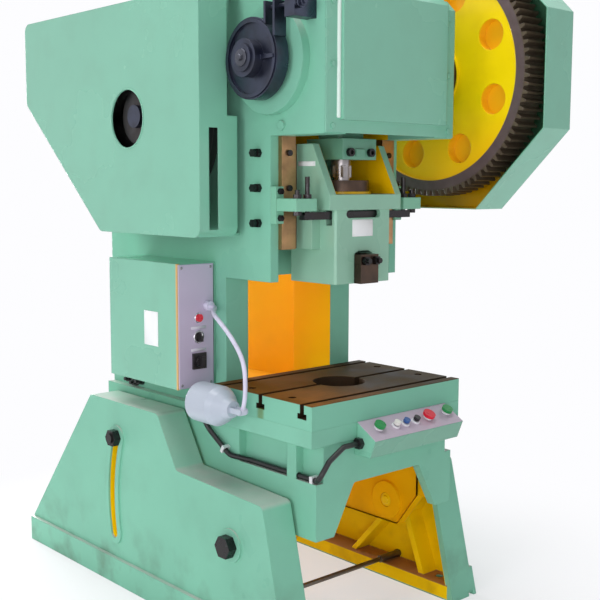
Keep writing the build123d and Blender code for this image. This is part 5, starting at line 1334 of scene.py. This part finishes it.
class PRESS_OT_fit_motor_fins(bpy.types.Operator):
    """Casts the cooling fins on the motor and ribs the end of its fan cowl"""

    bl_idname = "press.fit_motor_fins"
    bl_label = "Motor fins"

    def execute(self, context):
        grey = plain_enamel("motor_grey_enamel_on_fins", "6F7C86")
        shape = bmesh.new()
        # No fin is higher than this
        highest_fin = 1070.0
        for step in range(-9, 13):
            turn = Matrix.Rotation(math.radians(step * 9.0 - 12.0), 4, "X")
            outward = turn @ Vector((0.0, 1.0, 0.0))
            middle = Vector((-78.0, *MOTOR_AT)) + outward * 102.0
            if middle.z <= highest_fin:
                add_slab(shape, middle, (300.0, 11.0, 2.6), 0.8, turn)
        close_piece(shape, "motor_fins", "frame", grey)
        shape = bmesh.new()
        for radius in (24.0, 42.0, 60.0, 78.0):
            add_turned(shape, bead_steps(radius, 1.4), (150.0, *MOTOR_AT), TO_RIGHT, 48)
        close_piece(shape, "motor_cowl_ribs", "frame", grey)
        return {"FINISHED"}


class PRESS_OT_fit_guard_bolts(bpy.types.Operator):
    """Bolts the gear guard's face to the ends of its three posts"""

    bl_idname = "press.fit_guard_bolts"
    bl_label = "Guard bolts"

    def execute(self, context):
        steel = machined("zinc_plated_bolt", "8E8A90", "50484A", 0.32, 0.002, 0.4)
        washer = ((0, 0), (15.0, 0), (15.0, 1.8), (14.2, 2.6), (0, 2.6))
        head = ((0, 0), (11.0, 0), (11.0, 6.2), (9.4, 8.0), (0, 8.0))
        shape = bmesh.new()
        for y, z in ((310.0, 602.0), (620.0, 745.0), (395.0, 1110.0)):
            add_turned(shape, washer, (GUARD_FACE_X, y, z), TO_RIGHT)
            add_turned(shape, head, (GUARD_FACE_X + 2.5, y, z), TO_RIGHT, 6)
        close_piece(shape, "gear_guard_bolts", "frame", steel)
        return {"FINISHED"}


class PRESS_OT_build_stage(bpy.types.Operator):
    """Lays the pale floor and sets the camera and the soft lights"""

    bl_idname = "press.build_stage"
    bl_label = "Stage"

    def execute(self, context):
        view = context.scene.press_view
        camera = bpy.data.cameras.new("press_camera")
        camera.sensor_fit = "AUTO"
        camera.sensor_width = 36.0
        camera.lens = view.lens
        camera.clip_end = 60.0
        viewer = bpy.data.objects.new("press_camera", camera)
        ahead = Vector(
            (
                math.sin(view.yaw) * math.cos(view.pitch),
                math.cos(view.yaw) * math.cos(view.pitch),
                -math.sin(view.pitch),
            )
        )
        right = Vector((math.cos(view.yaw), -math.sin(view.yaw), 0.0))
        up = right.cross(ahead)
        leaned = right * math.cos(view.roll) + up * math.sin(view.roll)
        up = leaned.cross(ahead)
        turn = Matrix((leaned, up, -ahead)).transposed().to_4x4()
        viewer.matrix_world = Matrix.Translation(Vector(view.place)) @ turn
        context.scene.collection.objects.link(viewer)
        context.scene.camera = viewer

        ground = bmesh.new()
        bmesh.ops.create_circle(
            ground, cap_ends=True, radius=14.0, segments=96, matrix=Matrix()
        )
        bmesh.ops.translate(ground, vec=(0.0, 0.4, FLOOR_Z), verts=ground.verts)
        mesh = bpy.data.meshes.new("pale_floor")
        ground.to_mesh(mesh)
        ground.free()
        floor = bpy.data.objects.new("pale_floor", mesh)
        context.scene.collection.objects.link(floor)
        floor.data.materials.append(self.floor_material())

        lights = (
            ("key", (-5.1, -0.9, 1.2), 1.8, view.key_strength),
            ("fill", (-3.1, -3.3, 0.4), 2.2, view.key_strength * 0.78),
            ("top", (-0.6, 0.4, 4.8), 3.0, view.key_strength * 3.6),
            ("back", (0.3, 4.2, 0.8), 1.6, view.key_strength * 4.2),
        )
        for name, place, side, power in lights:
            lamp = bpy.data.lights.new("soft_" + name, "AREA")
            lamp.shape = "SQUARE"
            lamp.size = side
            lamp.energy = power
            holder = bpy.data.objects.new("soft_" + name, lamp)
            aim = Vector((0.0, 0.3, 0.3)) - Vector(place)
            turn = aim.to_track_quat("-Z", "Y").to_matrix().to_4x4()
            holder.matrix_world = Matrix.Translation(place) @ turn
            context.scene.collection.objects.link(holder)

        world = bpy.data.worlds.new("press_sky")
        world.use_nodes = True
        tree = world.node_tree
        tree.nodes.clear()
        seen = self.seen_directly(tree)
        strength = add_node(
            tree, "ShaderNodeMapRange", {0: seen, 1: 0.0, 2: 1.0, 3: view.sky, 4: 1.0}
        )
        sky = add_node(
            tree,
            "ShaderNodeBackground",
            {"Color": hex_colour("FDFDFF"), "Strength": strength},
        )
        add_node(tree, "ShaderNodeOutputWorld", {"Surface": sky})
        context.scene.world = world
        context.scene.view_settings.view_transform = "Standard"
        return {"FINISHED"}

    def seen_directly(self, tree):
        """1 for a ray from the camera, a mirror or glass, and 0 for light."""
        path = add_node(tree, "ShaderNodeLightPath")
        rays = ("Is Camera Ray", "Is Glossy Ray", "Is Transmission Ray")
        return joined(tree, "MAXIMUM", [path.outputs[ray] for ray in rays])

    def floor_material(self):
        """Pale painted floor that fades into the backdrop away from the press."""
        material, tree, place = open_material("pale_painted_floor")
        seen = self.seen_directly(tree)
        flat = add_node(
            tree,
            "ShaderNodeVectorMath",
            {0: place, 1: (0.0, 0.4, FLOOR_Z)},
            operation="DISTANCE",
        )
        away = add_node(
            tree,
            "ShaderNodeMapRange",
            {0: flat.outputs["Value"], 1: 0.5, 2: 1.7, 3: 0.45, 4: 1.0},
            interpolation_type="SMOOTHSTEP",
        )
        lit = add_node(
            tree,
            "ShaderNodeBsdfDiffuse",
            {"Color": hex_colour("F6F6F8"), "Roughness": 0.5},
        )
        bright = add_node(
            tree, "ShaderNodeEmission", {"Color": hex_colour("FDFDFF"), "Strength": 1.0}
        )
        amount = joined(tree, "MULTIPLY", (seen, away))
        both = add_node(tree, "ShaderNodeMixShader", {0: amount, 1: lit, 2: bright})
        return close_material(material, tree, both)


class PRESS_PT_panel(bpy.types.Panel):
    """Lists the steps that dress the press"""

    bl_idname = "PRESS_PT_panel"
    bl_label = "Stamping press"
    bl_space_type = "VIEW_3D"
    bl_region_type = "UI"
    bl_category = "Press"

    def draw(self, context):
        layout = self.layout
        for step in STEPS:
            layout.operator(step.bl_idname)
        for group in ("press_colours", "press_sizes", "press_view"):
            box = layout.box()
            owner = getattr(context.scene, group)
            for name in type(owner).__annotations__:
                box.prop(owner, name)


GROUPS = (PressColours, PressSizes, PressView)
STEPS = (
    PRESS_OT_finish_castings,
    PRESS_OT_finish_sheet_metal,
    PRESS_OT_finish_steelwork,
    PRESS_OT_finish_drive,
    PRESS_OT_finish_electrics,
    PRESS_OT_fit_blank_plates,
    PRESS_OT_fit_button_rings,
    PRESS_OT_fit_panel_trim,
    PRESS_OT_fit_lug_rims,
    PRESS_OT_fit_cover_beads,
    PRESS_OT_fit_crank_end,
    PRESS_OT_fit_oilers,
    PRESS_OT_fit_lamp_bulb,
    PRESS_OT_fit_pivot_ends,
    PRESS_OT_fit_motor_fins,
    PRESS_OT_fit_guard_bolts,
    PRESS_OT_build_stage,
)


def register():
    for item in (*GROUPS, *STEPS, PRESS_PT_panel):
        bpy.utils.register_class(item)
    bpy.types.Scene.press_colours = PointerProperty(type=PressColours)
    bpy.types.Scene.press_sizes = PointerProperty(type=PressSizes)
    bpy.types.Scene.press_view = PointerProperty(type=PressView)


def unregister():
    del bpy.types.Scene.press_view
    del bpy.types.Scene.press_sizes
    del bpy.types.Scene.press_colours
    for item in reversed((*GROUPS, *STEPS, PRESS_PT_panel)):
        bpy.utils.unregister_class(item)


def main():
    """Runs every step in order."""
    register()
    for step in STEPS:
        group, name = step.bl_idname.split(".")
        getattr(getattr(bpy.ops, group), name)()


if __name__ == "__main__":
    main()
